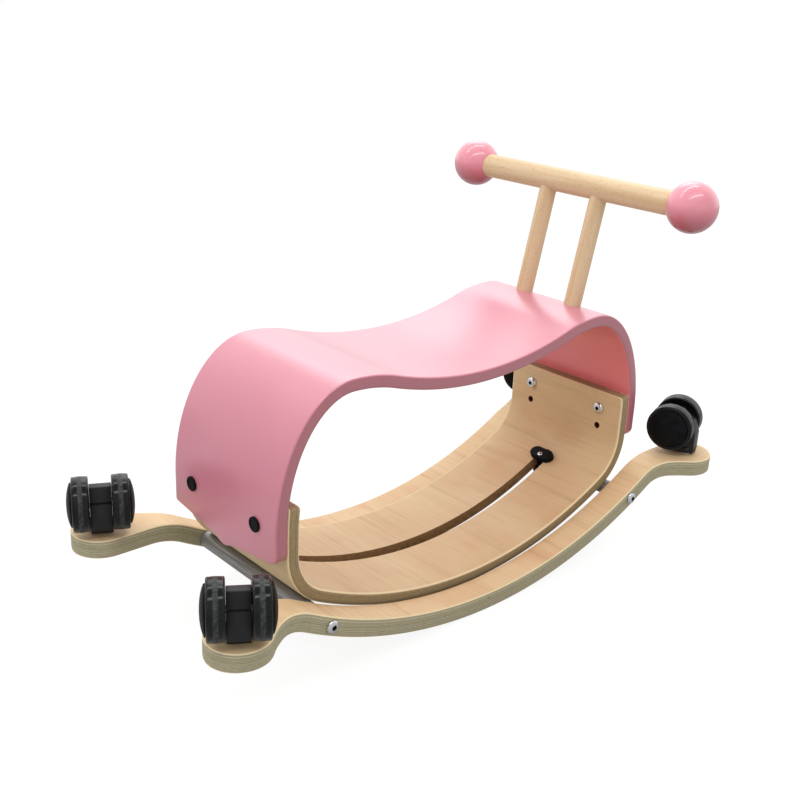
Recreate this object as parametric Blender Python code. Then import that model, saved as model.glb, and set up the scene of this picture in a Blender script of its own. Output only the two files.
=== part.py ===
# Ride-on rocker of bent plywood. It rocks on two rails and, turned over, rolls on
# four twin-wheel casters.
# +X is the handlebar end, +Y the rider's left, +Z up. z = 0 is the floor under the rails.

import bpy
import bmesh
import math
from mathutils import Matrix, Vector

MM = 0.001
GAP = 0.3 * MM                    # clearance between a piece and its seat

# Plywood boards
BOARD_HALF_WIDTH = 79.5 * MM
BOARD_EDGE_ROUND = 1.2 * MM

# Rocker rails
RAIL_THICKNESS = 18 * MM
RAIL_WIDTH = 29 * MM
RAIL_EDGE_ROUND = 1.8 * MM
RAIL_BOARD_CLEARANCE = 4 * MM     # side gap between the base board and a rail
RAIL_FLOOR_RADIUS = 476 * MM      # underside of the belly
RAIL_BLEND_RADIUS = 85 * MM       # top surface, where the belly flattens into the pad
PAD_RISE = 69.6 * MM              # pad's top above the belly's lowest top point
PAD_RADIUS = 28.5 * MM
PAD_REACH = 300 * MM              # pad's centre from the middle of the rocker
NECK_RADIUS = 70 * MM             # hollow curve where the rail widens to the pad

# Cross tubes and the bolts that hold the rails to them
TUBE_RADIUS = 8 * MM
TUBE_WALL = 1.3 * MM
TUBE_REACH = 206 * MM
INSERT_LENGTH = 18 * MM
RAIL_BOLT_RADIUS = 3 * MM
RAIL_BOLT_GRIP = 15 * MM          # length in the insert
RAIL_BOLT_HEAD_RADIUS = 5.8 * MM
RAIL_BOLT_HEAD_HEIGHT = 3.2 * MM

# Base board
BASE_THICKNESS = 12 * MM
BASE_BELLY_RADIUS = 410 * MM      # upper surface
BASE_CORNER_RADIUS = 48 * MM
BASE_WALL_SETBACK = 10.5 * MM     # upturned ends' inner surface outboard of the cross tubes' axes
BASE_WALL_TOP = 158 * MM
BASE_END_ROUND = 2.5 * MM
SLOT_HALF_WIDTH = 7.2 * MM

# Seat board
SEAT_THICKNESS = 12 * MM
SADDLE_HEIGHT = 237.5 * MM        # lowest point of the sitting surface
SADDLE_RADIUS = 371 * MM
CREST_RADIUS = 165.5 * MM
CREST_REACH = 160.3 * MM
SHOULDER_HEIGHT = 139.2 * MM      # where the turned-down ends become upright
SEAT_EDGE_HEIGHT = 101 * MM
SEAT_EDGE_RISE = 0.13             # slope of the V-shaped lower edge
SEAT_NOSE_DROP = 3 * MM
SEAT_NOSE_HALF_WIDTH = 20 * MM
SEAT_END_ROUND = 3 * MM

# Bolts through the lapped ends, and the base board's spare pair of holes below them
SEAT_BOLT_RADIUS = 3 * MM
SEAT_BOLT_SIDE = 49.3 * MM
SEAT_BOLT_HEIGHT = 139.2 * MM
SPARE_HOLE_DROP = 20.6 * MM
SEAT_BOLT_HEAD_RADIUS = 6 * MM
SEAT_BOLT_HEAD_HEIGHT = 3.4 * MM
CAP_RADIUS = 7 * MM
CAP_HEIGHT = 1.8 * MM

# Handlebar
BAR_RADIUS = 12.5 * MM
BAR_REACH = 198 * MM
BAR_HEIGHT = 380 * MM
BALL_RADIUS = 25 * MM
BALL_SIDE = 144.7 * MM
BALL_BORE_DEPTH = 18 * MM
UPRIGHT_RADIUS = 9 * MM
UPRIGHT_SIDE = 33.8 * MM
UPRIGHT_LEAN = math.radians(12.8)
UPRIGHT_BAR_DEPTH = 7 * MM        # how far an upright enters the crossbar
UPRIGHT_FOOT_MARGIN = 2.5 * MM    # the foot stops short of the seat's underside

# Slot clamps
CLAMP_SETBACK = 18 * MM           # clamp head's centre inboard of the cross tube's
CLAMP_LENGTH = 15 * MM
CLAMP_SPAN = 30 * MM
CLAMP_HEIGHT = 6 * MM
CLAMP_STEM_LENGTH = 7 * MM
CLAMP_STEM_SPAN = 11 * MM
CLAMP_HOOK_SPAN = 22 * MM
CLAMP_HOOK_BACK = 9 * MM
CLAMP_HOOK_WALL = 3.5 * MM
CLAMP_SCREW_RADIUS = 1.8 * MM
CLAMP_SCREW_HEAD_RADIUS = 3.4 * MM
CLAMP_SCREW_LENGTH = 24 * MM

# Casters
WHEEL_RADIUS = 26.3 * MM
WHEEL_WIDTH = 15 * MM
WHEEL_SHOULDER = 2.2 * MM
WHEEL_HUB_RADIUS = 20.5 * MM      # domed hub cover on a wheel's outer face
WHEEL_HUB_STEP = 1.8 * MM
WHEEL_HUB_BULGE = 5 * MM
AXLE_HEIGHT = 32.2 * MM             # above the pad
AXLE_TRAIL = 15.5 * MM
AXLE_RADIUS = 3 * MM
AXLE_WHEEL_DEPTH = 10 * MM
HOOD_WIDTH = 19.4 * MM
HOOD_BROW = 16.8 * MM             # top above the axle
HOOD_TAIL = 10.5 * MM             # tail face behind the axle
HOOD_EDGE_CHAMFER = 0.6 * MM
HOOD_FLANGE_RADIUS = 12 * MM
HOOD_FLANGE_HEIGHT = 6 * MM
STEM_RADIUS = 4 * MM
STEM_PAD_DEPTH = 14 * MM
STEM_HOOD_DEPTH = 25 * MM
COLLAR_RADIUS = 10.5 * MM
COLLAR_HEIGHT = 1.8 * MM
CASTER_HEADINGS = {               # rest direction of each caster's trail
    "front_left": math.radians(125),
    "front_right": math.radians(110),
    "rear_left": math.radians(-116),
    "rear_right": math.radians(-122.5),
}

# Facets
BELLY_FACETS = 10                 # each side of the middle facet
SHOULDER_FACETS = 11
ROUND_FACETS = 18
BOLT_FACETS = 10
WHEEL_FACETS = 20
BALL_FACETS = 20
PIN_FACETS = 12

# Sizes that follow from the ones above
RAIL_INNER_SIDE = BOARD_HALF_WIDTH + RAIL_BOARD_CLEARANCE
RAIL_OUTER_SIDE = RAIL_INNER_SIDE + RAIL_WIDTH
RAIL_TOP_RADIUS = RAIL_FLOOR_RADIUS - RAIL_THICKNESS
PAD_SIDE = RAIL_INNER_SIDE + PAD_RADIUS
PAD_TOP = RAIL_THICKNESS + PAD_RISE
BASE_WALL_REACH = TUBE_REACH + BASE_WALL_SETBACK
BASE_WALL_OUTSIDE = BASE_WALL_REACH + BASE_THICKNESS
SEAT_WALL_INSIDE = BASE_WALL_OUTSIDE + GAP
SEAT_WALL_OUTSIDE = SEAT_WALL_INSIDE + SEAT_THICKNESS
RAIL_MID_RADIUS = RAIL_FLOOR_RADIUS - RAIL_THICKNESS / 2
TUBE_HEIGHT = RAIL_FLOOR_RADIUS - math.sqrt(RAIL_MID_RADIUS ** 2 - TUBE_REACH ** 2)
CLAMP_REACH = TUBE_REACH - CLAMP_SETBACK
TUBE_TO_BELLY_CENTRE = BASE_BELLY_RADIUS + BASE_THICKNESS + GAP + TUBE_RADIUS
BASE_CENTRE_HEIGHT = TUBE_HEIGHT + math.sqrt(TUBE_TO_BELLY_CENTRE ** 2 - TUBE_REACH ** 2)


def clear_scene():
    for item in list(bpy.data.objects):
        bpy.data.objects.remove(item, do_unlink=True)


def make_material(name, red, green, blue, roughness, metallic=0.0):
    material = bpy.data.materials.new(name)
    material.use_nodes = True
    shader = material.node_tree.nodes["Principled BSDF"]
    shader.inputs["Base Color"].default_value = (red, green, blue, 1.0)
    shader.inputs["Roughness"].default_value = roughness
    shader.inputs["Metallic"].default_value = metallic
    return material


def add_object(name, bm, material, frame=None, parent=None):
    """Turn a bmesh into a named, smooth-shaded object placed by the frame."""
    bmesh.ops.recalc_face_normals(bm, faces=bm.faces)
    mesh = bpy.data.meshes.new(name)
    bm.to_mesh(mesh)
    bm.free()
    mesh.shade_smooth()
    mesh.set_sharp_from_angle(angle=math.radians(32))
    mesh.materials.append(material)
    item = bpy.data.objects.new(name, mesh)
    bpy.context.collection.objects.link(item)
    item.parent = parent
    if frame is not None:
        item.matrix_local = frame
    return item


def apply_boolean(target, tool, operation):
    """Join or cut with a second object, which is used up."""
    bpy.context.view_layer.update()
    modifier = target.modifiers.new("boolean", "BOOLEAN")
    modifier.operation = operation
    modifier.solver = "EXACT"
    modifier.object = tool
    depsgraph = bpy.context.evaluated_depsgraph_get()
    result = bpy.data.meshes.new_from_object(target.evaluated_get(depsgraph))
    target.modifiers.clear()
    target.data = result
    result.set_sharp_from_angle(angle=math.radians(32))
    bpy.data.objects.remove(tool, do_unlink=True)


def cut(target, tool):
    apply_boolean(target, tool, "DIFFERENCE")


def join(target, tool):
    apply_boolean(target, tool, "UNION")


# Shapes

def lofted(sections):
    """Skin closed sections that all have the same number of points."""
    bm = bmesh.new()
    rings = []
    for section in sections:
        rings.append([bm.verts.new(point) for point in section])
    count = len(rings[0])
    for ring, following in zip(rings, rings[1:]):
        for index in range(count):
            after = (index + 1) % count
            bm.faces.new((ring[index], ring[after], following[after], following[index]))
    bm.faces.new(rings[0])
    bm.faces.new(rings[-1])
    return bm


def turned(profile, facets):
    """Spin a profile of (radius, height) points, which starts and ends on the axis, about Z."""
    bm = bmesh.new()
    points = [bm.verts.new((radius, 0, height)) for radius, height in profile]
    edges = [bm.edges.new(pair) for pair in zip(points, points[1:])]
    bmesh.ops.spin(bm, geom=points + edges, cent=(0, 0, 0), axis=(0, 0, 1),
                   angle=2 * math.pi, steps=facets, use_merge=True)
    bmesh.ops.remove_doubles(bm, verts=bm.verts, dist=MM / 1000)
    return bm


def turned_ring(profile, facets):
    """Spin a closed profile of (radius, height) points that stays clear of the axis."""
    bm = bmesh.new()
    points = [bm.verts.new((radius, 0, height)) for radius, height in profile]
    edges = [bm.edges.new(pair) for pair in zip(points, points[1:] + points[:1])]
    bmesh.ops.spin(bm, geom=points + edges, cent=(0, 0, 0), axis=(0, 0, 1),
                   angle=2 * math.pi, steps=facets, use_merge=True)
    bmesh.ops.remove_doubles(bm, verts=bm.verts, dist=MM / 1000)
    return bm


def rod(radius, start, end, facets, edge=0.0):
    """Solid rod along Z, with its end edges broken by a small chamfer."""
    profile = [(0, start), (radius - edge, start)]
    if edge > 0:
        profile += [(radius, start + edge), (radius, end - edge)]
    profile += [(radius - edge, end), (0, end)]
    return turned(profile, facets)


def prism(outline, low, high):
    """Extrude an outline of (x, y) points from z = low to z = high."""
    bm = bmesh.new()
    face = bm.faces.new([bm.verts.new((x, y, low)) for x, y in outline])
    grown = bmesh.ops.extrude_face_region(bm, geom=[face])["geom"]
    moved = [element for element in grown if isinstance(element, bmesh.types.BMVert)]
    bmesh.ops.translate(bm, verts=moved, vec=(0, 0, high - low))
    return bm


def arc_points(centre, radius, start, end, count):
    """Points on an arc of the (x, y) plane, angles in radians, both ends included."""
    points = []
    for index in range(count + 1):
        angle = start + (end - start) * index / count
        points.append((centre[0] + radius * math.cos(angle), centre[1] + radius * math.sin(angle)))
    return points


def stadium(length, width, facets=8):
    """Outline with round ends, its length along Y and its width along X."""
    radius = width / 2
    reach = length / 2 - radius
    return (arc_points((0, reach), radius, 0, math.pi, facets)
            + arc_points((0, -reach), radius, math.pi, 2 * math.pi, facets))


def rounded_outline(corners, facets=2):
    """Round off the corners of a polygon given as (x, y, radius)."""
    outline = []
    for index, (x, y, radius) in enumerate(corners):
        here = Vector((x, y))
        before = Vector(corners[index - 1][:2])
        after = Vector(corners[(index + 1) % len(corners)][:2])
        back = (before - here).normalized()
        forth = (after - here).normalized()
        half = math.acos(max(-1.0, min(1.0, back.dot(forth)))) / 2
        reach = min(radius / math.tan(half), (before - here).length / 2, (after - here).length / 2)
        bend = reach * math.tan(half)
        centre = here + (back + forth).normalized() * (bend / math.sin(half))
        arm = here + back * reach - centre
        far_arm = here + forth * reach - centre
        start = math.atan2(arm.y, arm.x)
        sweep = math.atan2(arm.x * far_arm.y - arm.y * far_arm.x, arm.dot(far_arm))
        outline += arc_points(centre, bend, start, start + sweep, facets)
    return outline


# Bent plywood: a board is a row of stations (x, z, normal x, normal z, inner y, outer y)
# along its moulded curve. The normal points out of its upper surface.

def hollow_arc(centre_x, centre_z, radius, start, end, count, skip_first=False):
    """Stations on an arc whose centre is above the board. Angles run from straight down."""
    stations = []
    for index in range(1 if skip_first else 0, count + 1):
        angle = start + (end - start) * index / count
        stations.append((centre_x + radius * math.sin(angle), centre_z - radius * math.cos(angle),
                         -math.sin(angle), math.cos(angle)))
    return stations


def crowned_arc(centre_x, centre_z, radius, start, end, count):
    """Stations on an arc whose centre is below the board, without the first."""
    stations = []
    for index in range(1, count + 1):
        angle = start + (end - start) * index / count
        stations.append((centre_x + radius * math.sin(angle), centre_z + radius * math.cos(angle),
                         math.sin(angle), math.cos(angle)))
    return stations


def middle_arc(centre_z, radius, end, count):
    """Half of an arc across the middle of the rocker, with one facet level in the middle."""
    half_facet = end / (2 * count + 1)
    return hollow_arc(0, centre_z, radius, half_facet, end, count)


def both_halves(stations):
    """Repeat the front half's stations behind, mirrored."""
    rear = [(-x, z, -nx, nz, *rest) for x, z, nx, nz, *rest in reversed(stations)]
    return rear + stations


def board_section(station, thickness, rounding):
    """Closed section of a board at a station, with rounded edges."""
    x, z, normal_x, normal_z, inner, outer = station
    centres = [(inner + rounding, -rounding), (outer - rounding, -rounding),
               (outer - rounding, rounding - thickness), (inner + rounding, rounding - thickness)]
    points = []
    for index, centre in enumerate(centres):
        start = math.pi - index * math.pi / 2
        for y, height in arc_points(centre, rounding, start, start - math.pi / 2, 1):
            points.append((x + normal_x * height, y, z + normal_z * height))
    return points


def bent_board(stations, thickness, rounding):
    return lofted([board_section(station, thickness, rounding) for station in stations])


# Rails

def rail_belly_centre():
    """Height of the belly's centre, with the middle facet of the underside on the floor."""
    return RAIL_FLOOR_RADIUS * math.cos(rail_belly_angle() / (2 * BELLY_FACETS + 1))


def rail_belly_angle():
    """Angle at which the belly meets the blend to the level pad."""
    blend_centre_height = PAD_TOP - RAIL_BLEND_RADIUS
    return math.acos((RAIL_FLOOR_RADIUS - blend_centre_height) / (RAIL_TOP_RADIUS + RAIL_BLEND_RADIUS))


def rail_sides(x):
    """Inner and outer side of the left rail at a distance x from the middle."""
    neck_height = RAIL_OUTER_SIDE + NECK_RADIUS - PAD_SIDE
    neck_reach = PAD_REACH - math.sqrt((PAD_RADIUS + NECK_RADIUS) ** 2 - neck_height ** 2)
    share = PAD_RADIUS / (PAD_RADIUS + NECK_RADIUS)
    pad_start = PAD_REACH + (neck_reach - PAD_REACH) * share
    inner = RAIL_INNER_SIDE
    outer = RAIL_OUTER_SIDE
    if x > pad_start:
        outer = PAD_SIDE + math.sqrt(PAD_RADIUS ** 2 - (x - PAD_REACH) ** 2)
    elif x > neck_reach:
        outer = RAIL_OUTER_SIDE + NECK_RADIUS - math.sqrt(NECK_RADIUS ** 2 - (x - neck_reach) ** 2)
    if x > PAD_REACH:
        inner = PAD_SIDE - math.sqrt(PAD_RADIUS ** 2 - (x - PAD_REACH) ** 2)
    return inner, outer


def rail_stations():
    angle = rail_belly_angle()
    belly = middle_arc(rail_belly_centre(), RAIL_TOP_RADIUS, angle, BELLY_FACETS)
    blend_x = (RAIL_TOP_RADIUS + RAIL_BLEND_RADIUS) * math.sin(angle)
    blend = crowned_arc(blend_x, PAD_TOP - RAIL_BLEND_RADIUS, RAIL_BLEND_RADIUS, -angle, 0, 6)
    tip = PAD_REACH + math.sqrt(PAD_RADIUS ** 2 - (2 * RAIL_EDGE_ROUND) ** 2)
    pad = []
    pad_facets = 10
    for index in range(1, pad_facets + 1):
        x = blend_x + (tip - blend_x) * math.sin(math.pi / 2 * index / pad_facets)
        pad.append((x, PAD_TOP, 0, 1))
    return both_halves([(*station, *rail_sides(station[0])) for station in belly + blend + pad])


def y_axis_frame(x, y, z):
    """Place a turned piece's Z axis along world +Y."""
    return Matrix.Translation((x, y, z)) @ Matrix.Rotation(-math.pi / 2, 4, "X")


def x_axis_frame(x, y, z, direction):
    """Place a turned piece's Z axis along world +X or -X."""
    return Matrix.Translation((x, y, z)) @ Matrix.Rotation(direction * math.pi / 2, 4, "Y")


def build_rail(name, side, wood):
    stations = rail_stations()
    sections = []
    for station in stations:
        points = board_section(station, RAIL_THICKNESS, RAIL_EDGE_ROUND)
        sections.append([(x, side * y, z) for x, y, z in points])
    rail = add_object(name, lofted(sections), wood)
    middle_side = side * (RAIL_INNER_SIDE + RAIL_OUTER_SIDE) / 2
    for end in (1, -1):
        bore = rod(RAIL_BOLT_RADIUS + GAP, -RAIL_WIDTH, RAIL_WIDTH, BOLT_FACETS)
        cut(rail, add_object("bore", bore, wood, y_axis_frame(end * TUBE_REACH, middle_side, TUBE_HEIGHT)))
        socket = rod(STEM_RADIUS + GAP, -STEM_PAD_DEPTH - GAP, STEM_PAD_DEPTH, PIN_FACETS)
        place = Matrix.Translation((end * PAD_REACH, side * PAD_SIDE, PAD_TOP))
        cut(rail, add_object("socket", socket, wood, place))
    return rail


# Cross tubes with their end inserts and bolts

def build_cross_tube(end_name, end, steel, zinc, chrome):
    reach = RAIL_INNER_SIDE - GAP
    inside = TUBE_RADIUS - TUBE_WALL
    profile = [(inside, -reach), (TUBE_RADIUS, -reach), (TUBE_RADIUS, reach), (inside, reach)]
    add_object("cross_tube_" + end_name, turned_ring(profile, ROUND_FACETS), steel,
               y_axis_frame(end * TUBE_REACH, 0, TUBE_HEIGHT))
    for side_name, side in (("left", 1), ("right", -1)):
        place = y_axis_frame(end * TUBE_REACH, 0, TUBE_HEIGHT)
        if side < 0:
            place = place @ Matrix.Rotation(math.pi, 4, "X")
        start = reach - INSERT_LENGTH
        bore = RAIL_BOLT_RADIUS + GAP
        plug = inside - GAP
        insert = [(bore, start), (plug, start), (plug, reach), (bore, reach)]
        add_object("tube_insert_" + end_name + "_" + side_name, turned_ring(insert, BOLT_FACETS),
                   zinc, place)
        seat = RAIL_OUTER_SIDE + GAP
        shank = (RAIL_BOLT_RADIUS, RAIL_INNER_SIDE - RAIL_BOLT_GRIP)
        bolt = button_bolt(shank, seat, RAIL_BOLT_HEAD_RADIUS, RAIL_BOLT_HEAD_HEIGHT)
        build_bolt("rail_bolt_" + end_name + "_" + side_name, bolt, seat, RAIL_BOLT_HEAD_HEIGHT,
                   chrome, place)


def button_bolt(shank, seat, head_radius, head_height):
    """Profile of a domed bolt along Z: the head's underside is at z = seat."""
    shank_radius, shank_end = shank
    rise = head_height * 0.35
    profile = [(0, shank_end), (shank_radius, shank_end), (shank_radius, seat), (head_radius, seat)]
    for index in range(4):
        angle = math.pi / 2 * index / 4
        profile.append((head_radius * (0.5 + 0.5 * math.cos(angle)),
                        seat + rise + (head_height - rise) * math.sin(angle)))
    profile.append((0, seat + head_height))
    return turned(profile, BOLT_FACETS)


def build_bolt(name, bm, seat, head_height, material, place):
    """Place a bolt and sink its hexagon socket."""
    bolt = add_object(name, bm, material, place)
    socket = rod(2.3 * MM, seat + head_height * 0.35, seat + head_height * 2, 6)
    cut(bolt, add_object("hexagon", socket, material, place))


# Base board

def base_corner():
    """Angle where the belly meets the corner, and the corner's centre."""
    centre_x = BASE_WALL_REACH - BASE_CORNER_RADIUS
    angle = math.asin(centre_x / (BASE_BELLY_RADIUS - BASE_CORNER_RADIUS))
    centre_z = BASE_CENTRE_HEIGHT - (BASE_BELLY_RADIUS - BASE_CORNER_RADIUS) * math.cos(angle)
    return angle, centre_x, centre_z


def lap_station(height):
    """Station of the base board's upturned end, which follows the inside of the seat's end."""
    if height <= SHOULDER_HEIGHT:
        return BASE_WALL_REACH, height, -1, 0
    offset = SEAT_THICKNESS + GAP + BASE_THICKNESS
    upper, lower = 0.0, math.pi / 2
    for _ in range(40):
        turn = (upper + lower) / 2
        x, z, normal_x, normal_z = shoulder_station(turn)
        if z - normal_z * offset > height:
            upper = turn
        else:
            lower = turn
    return x - normal_x * offset, z - normal_z * offset, -normal_x, -normal_z


def slot_reach():
    """End of the slot, whose round end just clears the clamp's stem at the board's underside."""
    corner = clamp_frame(1) @ Vector((clamp_stem_centre() + CLAMP_STEM_LENGTH / 2, 0, -BASE_THICKNESS))
    half_stem = CLAMP_STEM_SPAN / 2 + GAP
    return corner.x + GAP - math.sqrt(SLOT_HALF_WIDTH ** 2 - half_stem ** 2) + SLOT_HALF_WIDTH


def build_base_board(wood):
    angle, centre_x, centre_z = base_corner()
    belly = middle_arc(BASE_CENTRE_HEIGHT, BASE_BELLY_RADIUS, angle, 10)
    corner = hollow_arc(centre_x, centre_z, BASE_CORNER_RADIUS, angle, math.pi / 2, 9, skip_first=True)
    half = [(*station, -BOARD_HALF_WIDTH, BOARD_HALF_WIDTH) for station in belly + corner]
    for height in (SHOULDER_HEIGHT, SEAT_BOLT_HEIGHT + SEAT_BOLT_HEAD_RADIUS):
        half.append((*lap_station(height), -BOARD_HALF_WIDTH, BOARD_HALF_WIDTH))
    for index in range(5):
        turn = math.pi / 2 * index / 4
        height = BASE_WALL_TOP - BASE_END_ROUND * (1 - math.sin(turn))
        side = BOARD_HALF_WIDTH - BASE_END_ROUND * (1 - math.cos(turn))
        half.append((*lap_station(height), -side, side))
    board = add_object("base_board", bent_board(both_halves(half), BASE_THICKNESS, BOARD_EDGE_ROUND), wood)
    slot = [(x, y) for y, x in stadium(2 * slot_reach(), 2 * SLOT_HALF_WIDTH)]
    cut(board, add_object("slot", prism(slot, 0, BASE_CENTRE_HEIGHT / 2), wood))
    cut_wall_holes(board, wood, SEAT_BOLT_HEIGHT)
    cut_wall_holes(board, wood, SEAT_BOLT_HEIGHT - SPARE_HOLE_DROP)
    return board


def cut_wall_holes(board, material, height):
    """A pair of holes through both ends of a board, front and rear in one pass."""
    reach = SEAT_WALL_OUTSIDE + SEAT_THICKNESS
    for side in (1, -1):
        bore = rod(SEAT_BOLT_RADIUS + GAP, -reach, reach, BOLT_FACETS)
        cut(board, add_object("hole", bore, material, x_axis_frame(0, side * SEAT_BOLT_SIDE, height, 1)))


# Seat board

def seat_edge_height(y):
    """Lower edge of the turned-down ends: a shallow V with a small round nose."""
    nose = 0.0
    if abs(y) < SEAT_NOSE_HALF_WIDTH:
        nose = SEAT_NOSE_DROP * (1 + math.cos(math.pi * y / SEAT_NOSE_HALF_WIDTH)) / 2
    return SEAT_EDGE_HEIGHT + SEAT_EDGE_RISE * abs(y) - nose


def seat_crest():
    """Angle where saddle and crest meet, and the height of the crest's centre."""
    reach = SADDLE_RADIUS + CREST_RADIUS
    angle = math.asin(CREST_REACH / reach)
    return angle, SADDLE_HEIGHT + SADDLE_RADIUS - reach * math.cos(angle)


def crest_height():
    return seat_crest()[1] + CREST_RADIUS


def shoulder_station(turn):
    """Station on the quarter ellipse from the crest (turn 0) down to the upright end."""
    width = SEAT_WALL_OUTSIDE - CREST_REACH
    height = crest_height() - SHOULDER_HEIGHT
    normal = Vector((math.sin(turn) / width, math.cos(turn) / height)).normalized()
    return (CREST_REACH + width * math.sin(turn), SHOULDER_HEIGHT + height * math.cos(turn),
            normal.x, normal.y)


def seat_stations():
    angle, crest_centre = seat_crest()
    saddle = middle_arc(SADDLE_HEIGHT + SADDLE_RADIUS, SADDLE_RADIUS, angle, 6)
    crest = crowned_arc(CREST_REACH, crest_centre, CREST_RADIUS, -angle, 0, 4)
    shoulder = [shoulder_station(math.pi / 2 * index / SHOULDER_FACETS)
                for index in range(1, SHOULDER_FACETS + 1)]
    wall_end = SEAT_EDGE_HEIGHT - 2 * SEAT_NOSE_DROP - SEAT_THICKNESS
    wall = [(SEAT_WALL_OUTSIDE, wall_end, 1, 0)]
    stations = saddle + crest + shoulder + wall
    return both_halves([(*station, -BOARD_HALF_WIDTH, BOARD_HALF_WIDTH) for station in stations])


def build_seat_board(lacquer):
    seat = add_object("seat_board", bent_board(seat_stations(), SEAT_THICKNESS, BOARD_EDGE_ROUND), lacquer)
    low = SEAT_EDGE_HEIGHT - 2 * SEAT_THICKNESS - 2 * SEAT_NOSE_DROP
    beyond = BOARD_HALF_WIDTH + SEAT_THICKNESS
    flat_side = BOARD_HALF_WIDTH - SEAT_END_ROUND
    steps = 20
    edge = []
    for index in range(steps + 1):
        y = flat_side * (2 * index / steps - 1)
        edge.append((y, seat_edge_height(y)))
    corner_height = seat_edge_height(flat_side) + SEAT_END_ROUND
    right = arc_points((flat_side, corner_height), SEAT_END_ROUND, -math.pi / 2, 0, 4)[1:]
    left = [(-y, height) for y, height in reversed(right)]
    trim = ([(-beyond, low), (-beyond, corner_height)] + left + edge + right
            + [(beyond, corner_height), (beyond, low)])
    reach = SEAT_WALL_OUTSIDE + SEAT_THICKNESS
    stand_up = Matrix(((0, 0, 1, 0), (1, 0, 0, 0), (0, 1, 0, 0), (0, 0, 0, 1)))
    cut(seat, add_object("trim", prism(trim, -reach, reach), lacquer, stand_up))
    cut_wall_holes(seat, lacquer, SEAT_BOLT_HEIGHT)
    for side in (1, -1):
        bore = rod(UPRIGHT_RADIUS + GAP, -4 * SEAT_THICKNESS, 4 * SEAT_THICKNESS, ROUND_FACETS)
        place = upright_frame(side) @ Matrix.Translation((0, 0, -upright_length()))
        cut(seat, add_object("bore", bore, lacquer, place))
    return seat


# Handlebar

def upright_frame(side):
    """Z runs up the upright's axis, and the origin is on the crossbar's axis."""
    return (Matrix.Translation((BAR_REACH, side * UPRIGHT_SIDE, BAR_HEIGHT))
            @ Matrix.Rotation(UPRIGHT_LEAN, 4, "Y"))


def upright_length():
    """From the crossbar's axis down to the upright's foot."""
    foot = crest_height() - SEAT_THICKNESS + UPRIGHT_FOOT_MARGIN
    return (BAR_HEIGHT - foot) / math.cos(UPRIGHT_LEAN)


def build_handlebar(beech, lacquer):
    bar_end = BALL_SIDE - BALL_RADIUS + BALL_BORE_DEPTH
    bar = add_object("crossbar", rod(BAR_RADIUS, -bar_end, bar_end, ROUND_FACETS, MM), beech,
                     y_axis_frame(BAR_REACH, 0, BAR_HEIGHT))
    top = -BAR_RADIUS + UPRIGHT_BAR_DEPTH
    for name, side in (("left", 1), ("right", -1)):
        bore = rod(UPRIGHT_RADIUS + GAP, -2 * BAR_RADIUS, top + GAP, ROUND_FACETS)
        cut(bar, add_object("bore", bore, beech, upright_frame(side)))
        add_object("upright_" + name, rod(UPRIGHT_RADIUS, -upright_length(), top, ROUND_FACETS), beech,
                   upright_frame(side))
        build_ball(name, side, lacquer)


def build_ball(name, side, lacquer):
    """Ball with a blind bore for the crossbar's end, its bore facing the middle."""
    rings = BALL_FACETS // 2
    profile = []
    for index in range(rings + 1):
        angle = math.pi * index / rings
        profile.append((BALL_RADIUS * math.sin(angle), BALL_RADIUS * math.cos(angle)))
    place = y_axis_frame(BAR_REACH, side * BALL_SIDE, BAR_HEIGHT)
    ball = add_object("ball_" + name, turned(profile, BALL_FACETS), lacquer, place)
    bottom = BALL_RADIUS - BALL_BORE_DEPTH - GAP
    bore = rod(BAR_RADIUS + GAP, bottom, 2 * BALL_RADIUS, ROUND_FACETS)
    facing = place @ Matrix.Rotation(math.pi if side > 0 else 0, 4, "X")
    cut(ball, add_object("bore", bore, lacquer, facing))


# Bolts and caps through the lapped ends

def build_wall_fasteners(end_name, end, chrome, black):
    for side_name, side in (("left", 1), ("right", -1)):
        name = end_name + "_" + side_name
        outward = x_axis_frame(0, side * SEAT_BOLT_SIDE, SEAT_BOLT_HEIGHT, end)
        inward = outward @ Matrix.Rotation(math.pi, 4, "Y")
        cap_bore_depth = CAP_HEIGHT * 0.6
        seat = -(BASE_WALL_REACH - GAP)
        shank = (SEAT_BOLT_RADIUS, -(SEAT_WALL_OUTSIDE + GAP + cap_bore_depth - GAP))
        bolt = button_bolt(shank, seat, SEAT_BOLT_HEAD_RADIUS, SEAT_BOLT_HEAD_HEIGHT)
        build_bolt("seat_bolt_" + name, bolt, seat, SEAT_BOLT_HEAD_HEIGHT, chrome, inward)
        low = SEAT_WALL_OUTSIDE + GAP
        floor = low + cap_bore_depth
        bore = SEAT_BOLT_RADIUS + GAP
        dome = arc_points((CAP_RADIUS * 0.75, low + CAP_HEIGHT * 0.7), CAP_RADIUS * 0.25, 0, math.pi / 2, 3)
        cap = [(0, floor), (bore, floor), (bore, low), (CAP_RADIUS, low)]
        cap += [(radius, min(height, low + CAP_HEIGHT)) for radius, height in dome]
        cap.append((0, low + CAP_HEIGHT))
        add_object("seat_cap_" + name, turned(cap, BOLT_FACETS), black, outward)


# Slot clamps

def clamp_frame(end):
    """X climbs along the board, Z is square to it, and the origin lies on the upper surface."""
    angle = math.asin(CLAMP_REACH / BASE_BELLY_RADIUS)
    turn = Matrix.Identity(4) if end > 0 else Matrix.Rotation(math.pi, 4, "Z")
    height = BASE_CENTRE_HEIGHT - BASE_BELLY_RADIUS * math.cos(angle)
    return turn @ Matrix.Translation((CLAMP_REACH, 0, height)) @ Matrix.Rotation(-angle, 4, "Y")


def tube_in_clamp_frame():
    """Cross tube's centre, seen from the clamp."""
    spot = clamp_frame(1).inverted() @ Vector((TUBE_REACH, 0, TUBE_HEIGHT))
    return spot.x, spot.z


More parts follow.
